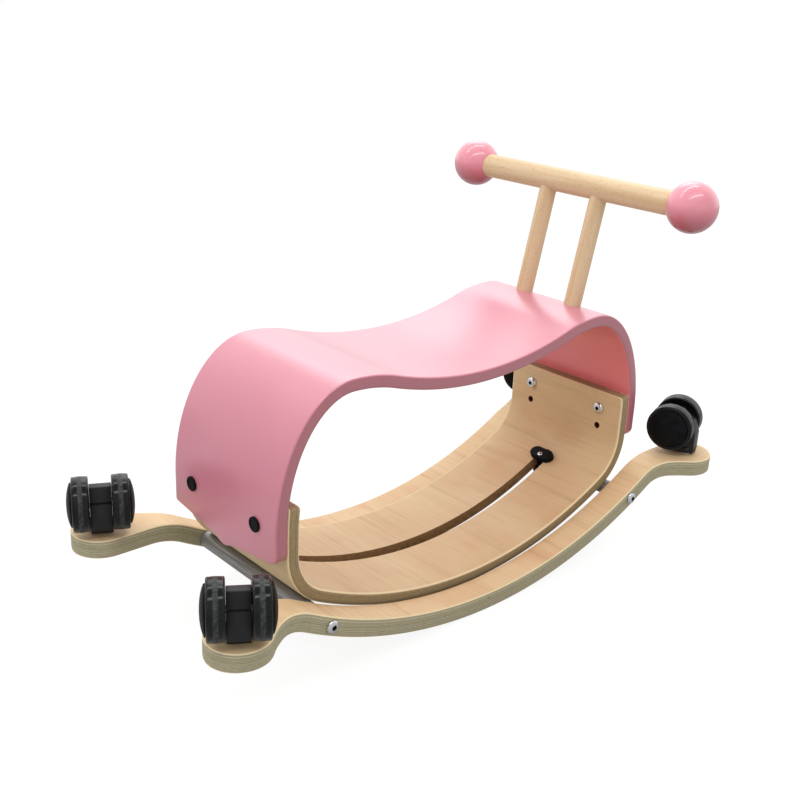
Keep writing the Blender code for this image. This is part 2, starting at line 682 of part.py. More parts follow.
def clamp_stem_centre():
    """The stem passes just inboard of the cross tube."""
    return tube_in_clamp_frame()[0] - TUBE_RADIUS - CLAMP_STEM_LENGTH / 2 - 2 * GAP


def build_clamp(end_name, end, black, chrome):
    place = clamp_frame(end)
    stem_x = clamp_stem_centre()
    head = prism(stadium(CLAMP_SPAN, CLAMP_LENGTH), GAP, GAP + CLAMP_HEIGHT)
    top = [edge for edge in head.edges if all(vert.co.z > CLAMP_HEIGHT / 2 for vert in edge.verts)]
    bmesh.ops.bevel(head, geom=top, offset=1.2 * MM, segments=2, profile=0.5, affect="EDGES")
    clamp = add_object("clamp_head_" + end_name, head, black, place)
    stem_back = stem_x - CLAMP_STEM_LENGTH / 2
    stem_front = stem_x + CLAMP_STEM_LENGTH / 2
    half_stem = CLAMP_STEM_SPAN / 2
    stem_shape = [(stem_back, -half_stem), (stem_front, -half_stem),
                  (stem_front, half_stem), (stem_back, half_stem)]
    stem = prism(stem_shape, -BASE_THICKNESS, GAP + CLAMP_HEIGHT / 2)
    join(clamp, add_object("stem", stem, black, place))
    hole_place = place @ Matrix.Translation((stem_x, 0, 0))
    screw_bore = rod(CLAMP_SCREW_RADIUS + GAP, -4 * BASE_THICKNESS, 4 * CLAMP_HEIGHT, BOLT_FACETS)
    cut(clamp, add_object("bore", screw_bore, black, hole_place))
    build_clamp_hook(end_name, place, stem_x, black)
    seat = 2 * GAP + CLAMP_HEIGHT
    screw = button_bolt((CLAMP_SCREW_RADIUS, seat - CLAMP_SCREW_LENGTH), seat, CLAMP_SCREW_HEAD_RADIUS,
                        CLAMP_SCREW_HEAD_RADIUS / 2)
    add_object("clamp_screw_" + end_name, screw, chrome, hole_place)


def build_clamp_hook(end_name, place, stem_x, black):
    """Block under the board whose lip reaches round below the cross tube."""
    tube_x, tube_z = tube_in_clamp_frame()
    bite = TUBE_RADIUS + GAP
    top = -BASE_THICKNESS - 2 * GAP
    back = stem_x - CLAMP_HOOK_BACK
    bottom = tube_z - bite - CLAMP_HOOK_WALL
    start = math.pi - math.asin((top - GAP - tube_z) / bite)
    lip = math.radians(285)
    grip = arc_points((tube_x, tube_z), bite, start, lip, 10)
    lip_end = tube_x + bite * math.cos(lip)
    outline = [(back, top), (grip[0][0], top)] + grip
    outline += [(lip_end + CLAMP_HOOK_WALL / 2, bottom + CLAMP_HOOK_WALL / 2), (lip_end, bottom)]
    outline += [(back + CLAMP_HOOK_WALL, bottom), (back, bottom + CLAMP_HOOK_WALL)]
    half_span = CLAMP_HOOK_SPAN / 2
    lay_down = Matrix(((1, 0, 0, 0), (0, 0, -1, 0), (0, 1, 0, 0), (0, 0, 0, 1)))
    hook = add_object("clamp_hook_" + end_name, prism(outline, -half_span, half_span), black,
                      place @ lay_down)
    bore = rod(CLAMP_SCREW_RADIUS + GAP, 2 * GAP + CLAMP_HEIGHT - CLAMP_SCREW_LENGTH - GAP, 0, BOLT_FACETS)
    cut(hook, add_object("bore", bore, black, place @ Matrix.Translation((stem_x, 0, 0))))


# Casters: each stands in an empty on its swivel axis, with +X along its trail and z = 0 on the pad

def hood_outline():
    """Side view of the swivel body between the wheels, as (trail, height, corner radius)."""
    nose = -0.7 * AXLE_TRAIL
    foot = GAP + COLLAR_HEIGHT + GAP
    brow = AXLE_HEIGHT + HOOD_BROW
    tail = AXLE_TRAIL + HOOD_TAIL
    return [(nose, foot, 1.2 * MM), (1.2 * AXLE_TRAIL, foot, 1.2 * MM),
            (1.2 * AXLE_TRAIL, foot + 4 * MM, 2 * MM), (tail, foot + 7 * MM, 2 * MM),
            (tail, AXLE_HEIGHT - 8.4 * MM, 2 * MM), (tail - 5.5 * MM, AXLE_HEIGHT + 0.8 * MM, 0.8 * MM),
            (tail - 3.5 * MM, AXLE_HEIGHT + 3.8 * MM, 1.5 * MM), (AXLE_TRAIL + 2 * MM, brow, 1.5 * MM),
            (0.55 * AXLE_TRAIL, brow, 6 * MM), (nose + 4 * MM, AXLE_HEIGHT + 6 * MM, 5 * MM),
            (nose, AXLE_HEIGHT - 8 * MM, 5 * MM)]


def build_caster(corner, end, side, black, tyre, steel):
    swivel = bpy.data.objects.new("caster_" + corner + "_swivel_axis", None)
    swivel.location = (end * PAD_REACH, side * PAD_SIDE, PAD_TOP)
    swivel.rotation_euler = (0, 0, CASTER_HEADINGS[corner])
    bpy.context.collection.objects.link(swivel)
    prefix = "caster_" + corner

    collar_top = GAP + COLLAR_HEIGHT
    stem = [(0, -STEM_PAD_DEPTH), (STEM_RADIUS, -STEM_PAD_DEPTH), (STEM_RADIUS, GAP), (COLLAR_RADIUS, GAP),
            (COLLAR_RADIUS, collar_top), (STEM_RADIUS, collar_top), (STEM_RADIUS, STEM_HOOD_DEPTH),
            (0, STEM_HOOD_DEPTH)]
    add_object(prefix + "_stem", turned(stem, PIN_FACETS + 4), steel, parent=swivel)

    lay_down = Matrix(((1, 0, 0, 0), (0, 0, -1, 0), (0, 1, 0, 0), (0, 0, 0, 1)))
    body = prism(rounded_outline(hood_outline()), -HOOD_WIDTH / 2, HOOD_WIDTH / 2)
    rims = [edge for edge in body.edges if abs(abs(edge.verts[0].co.z) - HOOD_WIDTH / 2) < MM / 100
            and abs(edge.verts[0].co.z - edge.verts[1].co.z) < MM / 100]
    bmesh.ops.bevel(body, geom=rims, offset=HOOD_EDGE_CHAMFER, segments=1, profile=0.5, affect="EDGES")
    hood = add_object(prefix + "_hood", body, black, lay_down, swivel)
    foot = collar_top + GAP
    flange = rod(HOOD_FLANGE_RADIUS, foot, foot + HOOD_FLANGE_HEIGHT, ROUND_FACETS, HOOD_EDGE_CHAMFER)
    join(hood, add_object("flange", flange, black, parent=swivel))
    bore = rod(STEM_RADIUS + GAP, 0, STEM_HOOD_DEPTH + GAP, PIN_FACETS)
    cut(hood, add_object("bore", bore, black, parent=swivel))
    axle_place = Matrix.Translation((AXLE_TRAIL, 0, AXLE_HEIGHT)) @ Matrix.Rotation(-math.pi / 2, 4, "X")
    axle_bore = rod(AXLE_RADIUS + GAP, -HOOD_WIDTH, HOOD_WIDTH, PIN_FACETS)
    cut(hood, add_object("axle_bore", axle_bore, black, axle_place, swivel))

    axle_reach = HOOD_WIDTH / 2 + AXLE_WHEEL_DEPTH - GAP
    axle = rod(AXLE_RADIUS, -axle_reach, axle_reach, PIN_FACETS, 0.4 * MM)
    add_object(prefix + "_axle", axle, steel, axle_place, swivel)
    for name, facing in (("a", 1), ("b", -1)):
        turn = Matrix.Identity(4) if facing > 0 else Matrix.Rotation(math.pi, 4, "X")
        add_object(prefix + "_wheel_" + name, turned(wheel_profile(), WHEEL_FACETS), tyre,
                   axle_place @ turn, swivel)


def wheel_profile():
    """Half section of a wheel, from its blind axle bore to its domed hub cover."""
    inner = HOOD_WIDTH / 2 + GAP
    outer = inner + WHEEL_WIDTH
    bore = AXLE_RADIUS + GAP
    bore_end = inner + AXLE_WHEEL_DEPTH
    shoulder = WHEEL_SHOULDER
    hub = WHEEL_HUB_RADIUS
    return [(0, bore_end), (bore, bore_end), (bore, inner), (WHEEL_RADIUS - shoulder, inner),
            (WHEEL_RADIUS, inner + shoulder), (WHEEL_RADIUS, outer - shoulder),
            (WHEEL_RADIUS - shoulder, outer), (hub, outer), (0.97 * hub, outer + WHEEL_HUB_STEP),
            (0.6 * hub, outer + 0.86 * WHEEL_HUB_BULGE), (0, outer + WHEEL_HUB_BULGE)]


def build_rocker():
    clear_scene()
    birch = make_material("bent birch plywood", 0.68, 0.47, 0.28, 0.55)
    pink = make_material("pink lacquered plywood", 0.85, 0.38, 0.47, 0.4)
    ball_pink = make_material("pink gloss lacquer", 0.87, 0.33, 0.43, 0.12)
    beech = make_material("oiled beech dowel", 0.75, 0.55, 0.36, 0.5)
    grey = make_material("grey coated tube", 0.2, 0.2, 0.21, 0.45, 0.6)
    zinc = make_material("zinc plated steel", 0.55, 0.56, 0.58, 0.35, 1.0)
    chrome = make_material("chromed steel", 0.8, 0.8, 0.82, 0.12, 1.0)
    black = make_material("black moulded nylon", 0.015, 0.015, 0.017, 0.45)
    tyre = make_material("black polyurethane", 0.02, 0.02, 0.022, 0.35)

    build_rail("rail_left", 1, birch)
    build_rail("rail_right", -1, birch)
    build_base_board(birch)
    build_seat_board(pink)
    build_handlebar(beech, ball_pink)
    for end_name, end in (("front", 1), ("rear", -1)):
        build_cross_tube(end_name, end, grey, zinc, chrome)
        build_wall_fasteners(end_name, end, chrome, black)
        build_clamp(end_name, end, black, chrome)
        for side_name, side in (("left", 1), ("right", -1)):
            build_caster(end_name + "_" + side_name, end, side, black, tyre, zinc)


build_rocker()
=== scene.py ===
import math
from functools import partial

import bmesh
import bpy
import numpy as np
from mathutils import Matrix, Vector


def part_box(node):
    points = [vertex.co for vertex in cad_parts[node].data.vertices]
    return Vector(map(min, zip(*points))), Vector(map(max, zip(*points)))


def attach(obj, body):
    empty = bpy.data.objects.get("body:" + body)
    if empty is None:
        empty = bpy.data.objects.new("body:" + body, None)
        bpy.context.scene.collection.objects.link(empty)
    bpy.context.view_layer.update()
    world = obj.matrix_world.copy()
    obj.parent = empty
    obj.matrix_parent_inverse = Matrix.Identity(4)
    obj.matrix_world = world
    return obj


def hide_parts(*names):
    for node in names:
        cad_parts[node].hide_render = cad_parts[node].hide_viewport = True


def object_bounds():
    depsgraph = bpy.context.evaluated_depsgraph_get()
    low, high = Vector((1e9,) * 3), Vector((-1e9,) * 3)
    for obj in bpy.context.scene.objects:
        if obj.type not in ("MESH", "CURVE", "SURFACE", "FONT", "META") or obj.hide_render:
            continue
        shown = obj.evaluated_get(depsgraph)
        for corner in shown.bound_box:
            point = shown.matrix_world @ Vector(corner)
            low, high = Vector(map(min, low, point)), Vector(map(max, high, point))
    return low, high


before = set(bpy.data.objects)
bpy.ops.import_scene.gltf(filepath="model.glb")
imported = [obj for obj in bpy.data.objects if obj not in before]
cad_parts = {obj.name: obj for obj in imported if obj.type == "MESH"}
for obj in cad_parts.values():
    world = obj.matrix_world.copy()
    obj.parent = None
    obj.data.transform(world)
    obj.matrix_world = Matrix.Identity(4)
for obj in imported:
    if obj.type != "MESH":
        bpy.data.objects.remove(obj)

mm = 0.001
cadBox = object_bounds()
ends = (("front", 1), ("rear", -1))
sides = (("left", 1), ("right", -1))
fourCorners = [(*end, *side) for end in ends for side in sides]


# Small helpers for colours and nodes

eased = {"interpolation_type": "SMOOTHSTEP"}   # a Map Range without corners
blended = {"data_type": "RGBA"}                # a Mix of two colours


def tone(code):
    channels = [int(code[i:i + 2], 16) / 255 for i in (1, 3, 5)]
    linear = [c / 12.92 if c <= 0.04045 else ((c + 0.055) / 1.055) ** 2.4 for c in channels]
    return (*linear, 1.0)


def linearTones(codes):
    return {name: tone(code) for name, code in codes.items()}


def fill(socket, entry):
    # a socket takes a value, or another node's output as a link
    if isinstance(entry, bpy.types.NodeSocket):
        socket.id_data.links.new(entry, socket)
    elif entry is not None:
        socket.default_value = entry


def fillNamed(node, sockets):
    for name, entry in sockets.items():
        fill(node.inputs[name.replace("_", " ")], entry)


def addNode(tree, kind, *entries, out=0, **settings):
    # entries fill the sockets in use from the first on; names with a capital are sockets too
    node = tree.nodes.new("ShaderNode" + kind)
    for name in filter(str.islower, settings):
        setattr(node, name, settings[name])
    for socket, entry in zip([socket for socket in node.inputs if socket.enabled], entries):
        fill(socket, entry)
    fillNamed(node, {name: entry for name, entry in settings.items() if not name.islower()})
    outputs = [socket for socket in node.outputs if socket.enabled]
    return outputs[out] if outputs else None


def newMaterial(name, marks="partMm", **sockets):
    # marks: the mesh attribute with places in mm that the patterns follow
    material = bpy.data.materials.new(name)
    material.use_nodes = True
    fillNamed(material.node_tree.nodes["Principled BSDF"], sockets)
    add = partial(addNode, material.node_tree)
    return material, add, add("Attribute", attribute_name=marks, out=1)


def paint(material, add, colour, relief=None, reliefMm=0.0, roughness=None):
    # a surface's colour, with a fine relief and an uneven roughness where it has them
    sockets = {"Base Color": colour, "Roughness": roughness}
    if relief:
        sockets["Normal"] = add("Bump", Distance=reliefMm * mm, Height=relief)
    fillNamed(material.node_tree.nodes["Principled BSDF"], sockets)
    return material


def mottle(add, spot, sizeMm, detail=3.0, roughness=0.55, stretch=(1, 1, 1), shift=(0, 0, 0)):
    # uneven pattern with features of a real size in mm, drawn out along the part
    moved = add("Mapping", spot, shift, None, stretch)
    return add("TexNoise", moved, 1 / sizeMm, detail, roughness)


def overlay(add, under, over, pattern, low, high, most=1.0, least=0.0):
    # lays one tone over another where a pattern goes from low to high
    return add("Mix", add("MapRange", pattern, low, high, least, most, **eased), under, over, **blended)


def betweenFaces(add, depth, below, top, bottom):
    # 0 on a board's two faces and 1 within, each face with the depths in mm where that starts and ends
    return add("Math", add("MapRange", depth, *top, **eased), add("MapRange", below, *bottom, **eased),
               operation="MULTIPLY")


# Materials

birchLook = {"plyMm": 1.42, "grainMm": 1.9, "arrisMm": 0.8, "roughness": 0.5, "edgeRoughness": 0.6,
             # the rim tone is lighter than the face: a painted highlight on rounded edges over the pale
             # sanded veneer
             "tones": {"fleck": "#7E5636", "rim": "#EAD7AE", "glue": "#453D2B", "void": "#4A3826"}}
# two sets of tones: end grain is greyer on the thick rails; the base board's face and end grain are darker
# and browner, painted shade from the seat above it
railTones = {"face": "#DEBF93", "warm": "#DAB186", "light": "#E4CA9F", "grain": "#B38F62",
             "edge": "#A59D80", "dark": "#878066", "pale": "#C6BD9C"}
baseTonesPaintedShade = {"face": "#D2B58A", "warm": "#CDA77C", "light": "#D7BF95", "grain": "#A9865B",
             "edge": "#917B58", "dark": "#745F40", "pale": "#A89470"}


def birchPlywood(name, thickness, seed, sheet, flatHalfMm):
    # Sanded birch plywood under satin clear lacquer: the rotary-cut face shows faint streaks across
    # the board, the trimmed edge shows grey-beige end grain with thin dark glue lines.
    look = birchLook
    hue = linearTones({**look["tones"], **sheet})
    material, add, spot = newMaterial(name, "plyMm", Roughness=look["roughness"], Specular_IOR_Level=0.3)
    across, depth = [add("SeparateXYZ", spot, out=axis) for axis in (1, 2)]
    # face veneer: streaks 2 mm apart and some 60 mm long, drawn a little coarser than real
    streaks = mottle(add, spot, look["grainMm"], 4, 0.65, (1, 0.03, 0), (seed, 0, 0))
    broad = mottle(add, spot, 9, 3, 0.5, (1, 0.04, 0), (40 + seed, 0, 0))
    clouds = mottle(add, spot, 75, 2, 0.5, (1, 0.35, 0), (31 + seed, 7, 0))
    warmth = mottle(add, spot, 50, 3, 0.55, (1, 0.5, 0), (seed - 12, 60, 0))
    flecks = mottle(add, spot, 5, 2, 0.5, (1, 0.22, 0), (5, 90 + seed, 0))
    # a paler rim flatHalfMm from the middle: sanded-through veneer along the long edges, lightened further as
    # a painted highlight
    aside = add("Math", across, operation="ABSOLUTE")
    face = hue["face"]
    for layer, *reach in (("light", clouds, 0.35, 0.68), ("warm", warmth, 0.48, 0.75, 0.8),
                          ("grain", broad, 0.5, 0.75, 0.3), ("grain", streaks, 0.5, 0.78, 0.42),
                          ("fleck", flecks, 0.77, 0.84, 0.5),
                          ("rim", aside, flatHalfMm, flatHalfMm + look["arrisMm"], 0.8)):
        face = overlay(add, face, hue[layer], *reach)
    # trimmed edge: each ply has its own tone and its own strength of glue line
    ply = add("Math", depth, look["plyMm"], operation="DIVIDE")
    index = add("Math", ply, operation="FLOOR")
    shade = add("TexWhiteNoise", add("Math", index, seed, operation="ADD"), noise_dimensions="1D")
    joint = add("Math", ply, operation="ROUND")
    strength = add("TexWhiteNoise", add("Math", joint, seed + 0.37, operation="ADD"), noise_dimensions="1D")
    line = add("Math", add("Math", ply, operation="FRACT"), 0.5, operation="SUBTRACT")
    waver = mottle(add, spot, 11, 2, 0.5, (1, 1, 0.2))
    line = add("Math", waver, 0.08, add("Math", line, operation="ABSOLUTE"), operation="MULTIPLY_ADD")
    line = add("Math", add("MapRange", line, 0.38, 0.5, **eased),
               add("MapRange", strength, 0.45, 0.8, 0.15, 1, **eased), operation="MULTIPLY")
    fibres = mottle(add, spot, 0.9, 3, 0.6, (0.2, 0.2, 1))
    edge = add("Mix", shade, hue["edge"], hue["pale"], **blended)
    edge = overlay(add, edge, hue["dark"], fibres, 0.4, 0.75, 0.45)
    edge = add("Mix", line, edge, hue["glue"], **blended)
    voids = mottle(add, spot, 3.4, 1, 0.5, (0.5, 0.5, 1), (3, 3, 40 + seed))
    edge = overlay(add, edge, hue["void"], voids, 0.77, 0.81, 0.8)
    # the outer veneer, rounded over by sanding, stays cream, in a tone lighter than the face that paints a
    # highlight on the rounded edge
    below = add("Math", thickness / mm, depth, operation="SUBTRACT")
    rim = betweenFaces(add, depth, below, (1.0, 1.5), (0.9, 1.3))
    edge = add("Mix", rim, hue["rim"], edge, **blended)
    trimmed = betweenFaces(add, depth, below, (0.05, 0.22), (0.2, 0.5))
    relief = add("Math", fibres, trimmed, streaks, operation="MULTIPLY_ADD")
    dull = add("MapRange", trimmed, 0, 1, look["roughness"], look["edgeRoughness"], **eased)
    return paint(material, add, add("Mix", trimmed, face, edge, **blended), relief, 0.03, dull)


def cutBirch(name, light, dark):
    # Walls of the routed slot and drilled holes: end grain browned by the cutter and never lacquered; the
    # drilled holes' far darker tones add painted shade inside the holes.
    material, add, spot = newMaterial(name, "plyMm", Roughness=0.75, Specular_IOR_Level=0.2)
    fibres = mottle(add, spot, 1.2, 3, 0.6, (0.2, 0.2, 1))
    return paint(material, add, overlay(add, tone(light), tone(dark), fibres, 0.35, 0.7), fibres, 0.05)


lacquerLook = {"roughness": 0.34, "coatRoughness": 0.3,
               "tones": {"face": "#D07D8F", "shade": "#CB7789", "inner": "#E6787F",
                         "edge": "#B16671", "edgeDark": "#8B4B58"}}


def pinkLacquer(name, thickness):
    # Sprayed satin lacquer on sanded plywood: even colour, soft sheen and a faint orange peel. The
    # edges are a darker tone, with the plies just telling through, and darker still along the lower face as
    # painted shade.
    look = lacquerLook
    hue = linearTones(look["tones"])
    material, add, spot = newMaterial(name, "plyMm", Roughness=look["roughness"], Coat_Weight=1.0,
                                      Coat_Roughness=look["coatRoughness"])
    depth = add("SeparateXYZ", spot, out=2)
    below = add("Math", thickness / mm, depth, operation="SUBTRACT")
    clouds = mottle(add, spot, 90, 2, 0.5)
    peel = mottle(add, spot, 2.4, 2, 0.5)
    face = overlay(add, hue["face"], hue["shade"], clouds, 0.35, 0.7, 0.6)
    # the inner face is redder: painted bounce light from the pink inside the arch
    face = overlay(add, hue["inner"], face, below, 0.3, 0.9)
    plies = add("TexWave", spot, 0.22, 0.8, 1, wave_type="BANDS", bands_direction="Z")
    edge = overlay(add, hue["edge"], hue["edgeDark"], plies, 0.2, 0.9, 0.3)
    # painted shade: the edge darkens toward the lower face, over about 2 mm
    edge = overlay(add, edge, hue["edgeDark"], below, 0.6, 2.2, 0, 0.75)
    trimmed = betweenFaces(add, depth, below, (0.7, 1.5), (0.3, 0.9))
    return paint(material, add, add("Mix", trimmed, face, edge, **blended), peel, 0.02)


def ballGloss():
    # Dipped gloss enamel on a turned wooden ball: a clear, slightly soft mirror over a colour that
    # deepens below, as painted shade on the ball's underside.
    material, add, spot = newMaterial("dippedPinkEnamel", Roughness=0.34, Coat_Weight=0.8,
                                      Coat_Roughness=0.06)
    low = add("SeparateXYZ", spot, out=1)
    clouds = mottle(add, spot, 18, 2, 0.5)
    colour = overlay(add, tone("#E6919F"), tone("#E28997"), clouds, 0.3, 0.7)
    # painted shade: darker towards the ball's underside
    colour = overlay(add, colour, tone("#A34654"), low, -8, 24)
    return paint(material, add, colour, mottle(add, spot, 6, 1, 0.5), 0.02)


def beechDowel():
    # Sanded beech rod with clear satin oil: cream wood with short darker rays along the grain.
    material, add, spot = newMaterial("oiledBeech", Roughness=0.5, Coat_Weight=0.08)
    # rays are 0.3 mm wide in real beech, drawn 0.9 mm wide so that they show
    rays = mottle(add, spot, 0.9, 2, 0.5, (1, 1, 0.22))
    bands = mottle(add, spot, 7, 3, 0.5, (1, 1, 0.05), (9, 2, 0))
    wood = overlay(add, tone("#D9BE98"), tone("#CFB086"), bands, 0.35, 0.7)
    wood = overlay(add, wood, tone("#A8825A"), rays, 0.55, 0.75, 0.5)
    return paint(material, add, wood, rays, 0.03)


def mouldedNylon(name, specular):
    # Injection-moulded glass-filled nylon: near black, satin, with a fine spark-eroded grain. Covers
    # and caps come from a smoother mould and are blacker.
    material, add, spot = newMaterial(name, Roughness=0.45, Specular_IOR_Level=specular)
    # the mould's grain is 0.2 mm, drawn at 0.7 mm
    grain = mottle(add, spot, 0.7, 2, 0.5)
    cloud = mottle(add, spot, 9, 2)
    colour = overlay(add, tone("#0D0E10"), tone("#141618"), cloud, 0.35, 0.7)
    return paint(material, add, colour, grain, 0.02, add("MapRange", grain, 0.3, 0.7, 0.38, 0.5, **eased))


def castPolyurethane():
    # Cast polyurethane tyre: black and glossy on its flanks, scuffed to a satin band where it rolls.
    material, add, spot = newMaterial("castPolyurethane", Specular_IOR_Level=0.25)
    height = add("SeparateXYZ", spot, out=2)
    off = add("Math", add("Math", height, wheel["scuffMm"], operation="SUBTRACT"), operation="ABSOLUTE")
    scuffs = mottle(add, spot, 3, 3, 0.6)
    off = add("Math", scuffs, 1.2, off, operation="MULTIPLY_ADD")
    worn = add("MapRange", off, 1.6, 3.4, 1, 0, **eased)
    colour = overlay(add, tone("#07080A"), tone("#101214"), scuffs, 0.4, 0.75)
    patches = add("MapRange", mottle(add, spot, 2.2, 3, 0.7), 0.35, 0.7, 0.15, 0.8, **eased)
    dust = add("Math", worn, patches, operation="MULTIPLY")
    colour = add("Mix", dust, colour, tone("#4A4F4F"), **blended)
    dull = add("MapRange", worn, 0, 1, 0.13, 0.5, **eased)
    return paint(material, add, colour, mottle(add, spot, 1.5, 2), 0.01, dull)


def brightPlate():
    # Nickel-chrome plated steel: mirror bright, with the faint haze that tumbling leaves.
    material, add, spot = newMaterial("nickelChromePlate", Metallic=1.0, Roughness=0.14)
    haze = mottle(add, spot, 1.6, 2)
    return paint(material, add, add("Mix", haze, tone("#C4C8CC"), tone("#DEE1E4"), **blended),
                 roughness=add("MapRange", haze, 0.3, 0.7, 0.1, 0.2, **eased))


def socketBlack():
    # Black oxide left in the wrenching recess, where the plating bath hardly reaches.
    material, add, spot = newMaterial("recessOxide", Roughness=0.5, Metallic=0.2)
    haze = mottle(add, spot, 0.8, 2)
    return paint(material, add, add("Mix", haze, tone("#17181B"), tone("#26282B"), **blended))


def greyTubeCoat():
    # Grey metallic powder coat baked on drawn steel tube: satin, with faint streaks of the drawing.
    material, add, spot = newMaterial("metallicPowderCoat", Metallic=0.4, Roughness=0.36)
    streaks = mottle(add, spot, 1.6, 2, 0.5, (1, 1, 0.04))
    colour = overlay(add, tone("#7B7A79"), tone("#959390"), streaks, 0.3, 0.7)
    return paint(material, add, colour, mottle(add, spot, 0.8, 2), 0.02)


def zincPlate():
    # Blue-white zinc plate on turned steel: pale satin grey, hazed round the part by the turning.
    material, add, spot = newMaterial("brightZincPlate", Metallic=1.0, Roughness=0.3)
    haze = mottle(add, spot, 2.0, 2, 0.5, (1, 1, 4))
    return paint(material, add, add("Mix", haze, tone("#A9ACB0"), tone("#C3C6C9"), **blended))


# Mesh builders

def finishMesh(name, bm, finish, replaced, place=None, body="frame", sharpDeg=35):
    bmesh.ops.recalc_face_normals(bm, faces=bm.faces)
    mesh = bpy.data.meshes.new(name)
    bm.to_mesh(mesh)
    bm.free()
    spots = np.empty(len(mesh.vertices) * 3, dtype=np.float32)
    mesh.vertices.foreach_get("co", spots)
    mark = mesh.attributes.new("partMm", "FLOAT_VECTOR", "POINT")
    mark.data.foreach_set("vector", spots / mm)
    if place is not None:
        mesh.transform(place)
    mesh.shade_smooth()
    mesh.set_sharp_from_angle(angle=math.radians(sharpDeg))
    mesh.materials.append(materials[finish])
    piece = bpy.data.objects.new(name, mesh)
    bpy.context.collection.objects.link(piece)
    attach(piece, body)
    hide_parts(replaced)
    return piece


def shares(count, first=0):
    return [i / count for i in range(first, count + 1)]


def arcPoints(cx, cy, radius, startDeg, endDeg, count):
    angles = [math.radians(startDeg + (endDeg - startDeg) * share) for share in shares(count)]
    return [(cx + radius * math.cos(a), cy + radius * math.sin(a)) for a in angles]


def turned(profile, steps=64):
    # lathe (radius, height) points about Z; points on the axis close the form
    bm = bmesh.new()
    rings = []
    for radius, height in profile:
        if radius < 1e-7:
            rings.append([bm.verts.new((0, 0, height))])
        else:
            turn = 2 * math.pi / steps
            rings.append([bm.verts.new((radius * math.cos(turn * i), radius * math.sin(turn * i), height))
                          for i in range(steps)])
    for low, high in zip(rings, rings[1:]):
        for i in range(steps):
            j = (i + 1) % steps
            if len(low) == 1:
                bm.faces.new((low[0], high[j], high[i]))
            elif len(high) == 1:
                bm.faces.new((low[i], low[j], high[0]))
            else:
                bm.faces.new((low[i], low[j], high[j], high[i]))
    return bm


def rod(radius, low, high, steps=32):
    return turned([(0, low), (radius, low), (radius, high), (0, high)], steps)


def prism(outline, low, high):
    bm = bmesh.new()
    face = bm.faces.new([bm.verts.new((x, y, low)) for x, y in outline])
    grown = bmesh.ops.extrude_face_region(bm, geom=[face])["geom"]
    bmesh.ops.translate(bm, verts=[v for v in grown if isinstance(v, bmesh.types.BMVert)],
                        vec=(0, 0, high - low))
    return bm


def carve(piece, cutter, operation="DIFFERENCE"):
    # cuts the piece with a closed form, or joins the form to it
    mesh = bpy.data.meshes.new("cutter")
    bmesh.ops.recalc_face_normals(cutter, faces=cutter.faces)
    cutter.to_mesh(mesh)
    cutter.free()
    tool = bpy.data.objects.new("cutter", mesh)
    bpy.context.collection.objects.link(tool)
    modifier = piece.modifiers.new("carve", "BOOLEAN")
    modifier.operation = operation
    modifier.solver = "EXACT"
    modifier.object = tool
    result = bpy.data.meshes.new_from_object(piece.evaluated_get(bpy.context.evaluated_depsgraph_get()))
    piece.modifiers.clear()
    piece.data = result
    result.set_sharp_from_angle(angle=math.radians(35))
    bpy.data.objects.remove(tool)


# places for pieces made along Z: these lay them along Y or X, facing outward

def yFrame(x, y, z, side=1):
    place = Matrix.Translation((x, y, z)) @ Matrix.Rotation(-math.pi / 2, 4, "X")
    return place if side > 0 else place @ Matrix.Rotation(math.pi, 4, "X")


def xFrame(x, y, z, direction):
    return Matrix.Translation((x, y, z)) @ Matrix.Rotation(direction * math.pi / 2, 4, "Y")


# Bent boards: a row of stations (x, z, normalX, normalZ) along the moulded curve

def arcRun(centreX, centreZ, radius, start, end, count, up, skipFirst=False):
    run = []
    for share in shares(count, int(skipFirst)):
        a = start + (end - start) * share
        run.append((centreX + radius * math.sin(a), centreZ - up * radius * math.cos(a),
                    -up * math.sin(a), math.cos(a)))
    return run


def bothHalves(half):
    return [(-x, z, -nx, nz) for x, z, nx, nz in reversed(half) if x > 1e-9] + half


cornerSteps = 4      # facets round each corner of a board's section


def boardRing(bm, station, yLow, yHigh, thickness, rounding, inset, columns, dip=None):
    # closed section with rounded corners; dip(y) moves points down for a shaped lower edge
    x, z, nx, nz = station
    left, right = yLow + inset, yHigh - inset
    top, bottom = -inset, -thickness + inset
    r = rounding - inset
    points = [(left + r + (right - left - 2 * r) * share, top) for share in columns]
    points += arcPoints(right - r, top - r, r, 90, 0, cornerSteps)[1:]
    points += arcPoints(right - r, bottom + r, r, 0, -90, cornerSteps)
    points += [(left + r + (right - left - 2 * r) * share, bottom) for share in reversed(columns)][1:]
    points += arcPoints(left + r, bottom + r, r, -90, -180, cornerSteps)[1:]
    points += arcPoints(left + r, top - r, r, 180, 90, cornerSteps)[:-1]
    ring = []
    for y, h in points:
        drop = dip(y) if dip else 0
        ring.append(bm.verts.new((x + nx * h, y, z + nz * h - drop)))
    return ring


def bridgeRings(bm, rings, columns):
    count = len(rings[0])
    for a, b in zip(rings, rings[1:]):
        for i in range(count):
            j = (i + 1) % count
            bm.faces.new((a[i], a[j], b[j], b[i]))
    last = len(columns) - 1
    bottomStart = last + 2 * cornerSteps + 1
    for ring in (rings[0], rings[-1]):
        for j in range(last):
            under = bottomStart + last - j
            bm.faces.new((ring[j], ring[j + 1], ring[under - 1], ring[under]))
        bm.faces.new([ring[i] for i in range(last, bottomStart + 1)])
        bm.faces.new([ring[i] for i in range(bottomStart + last, count)] + [ring[0]])


def closeBoard(bm, half, columns):
    # the rear half mirrors the front half
    rear = [[bm.verts.new((-v.co.x, v.co.y, v.co.z)) for v in ring] for ring in half[:0:-1]]
    bridgeRings(bm, rear + half, columns)


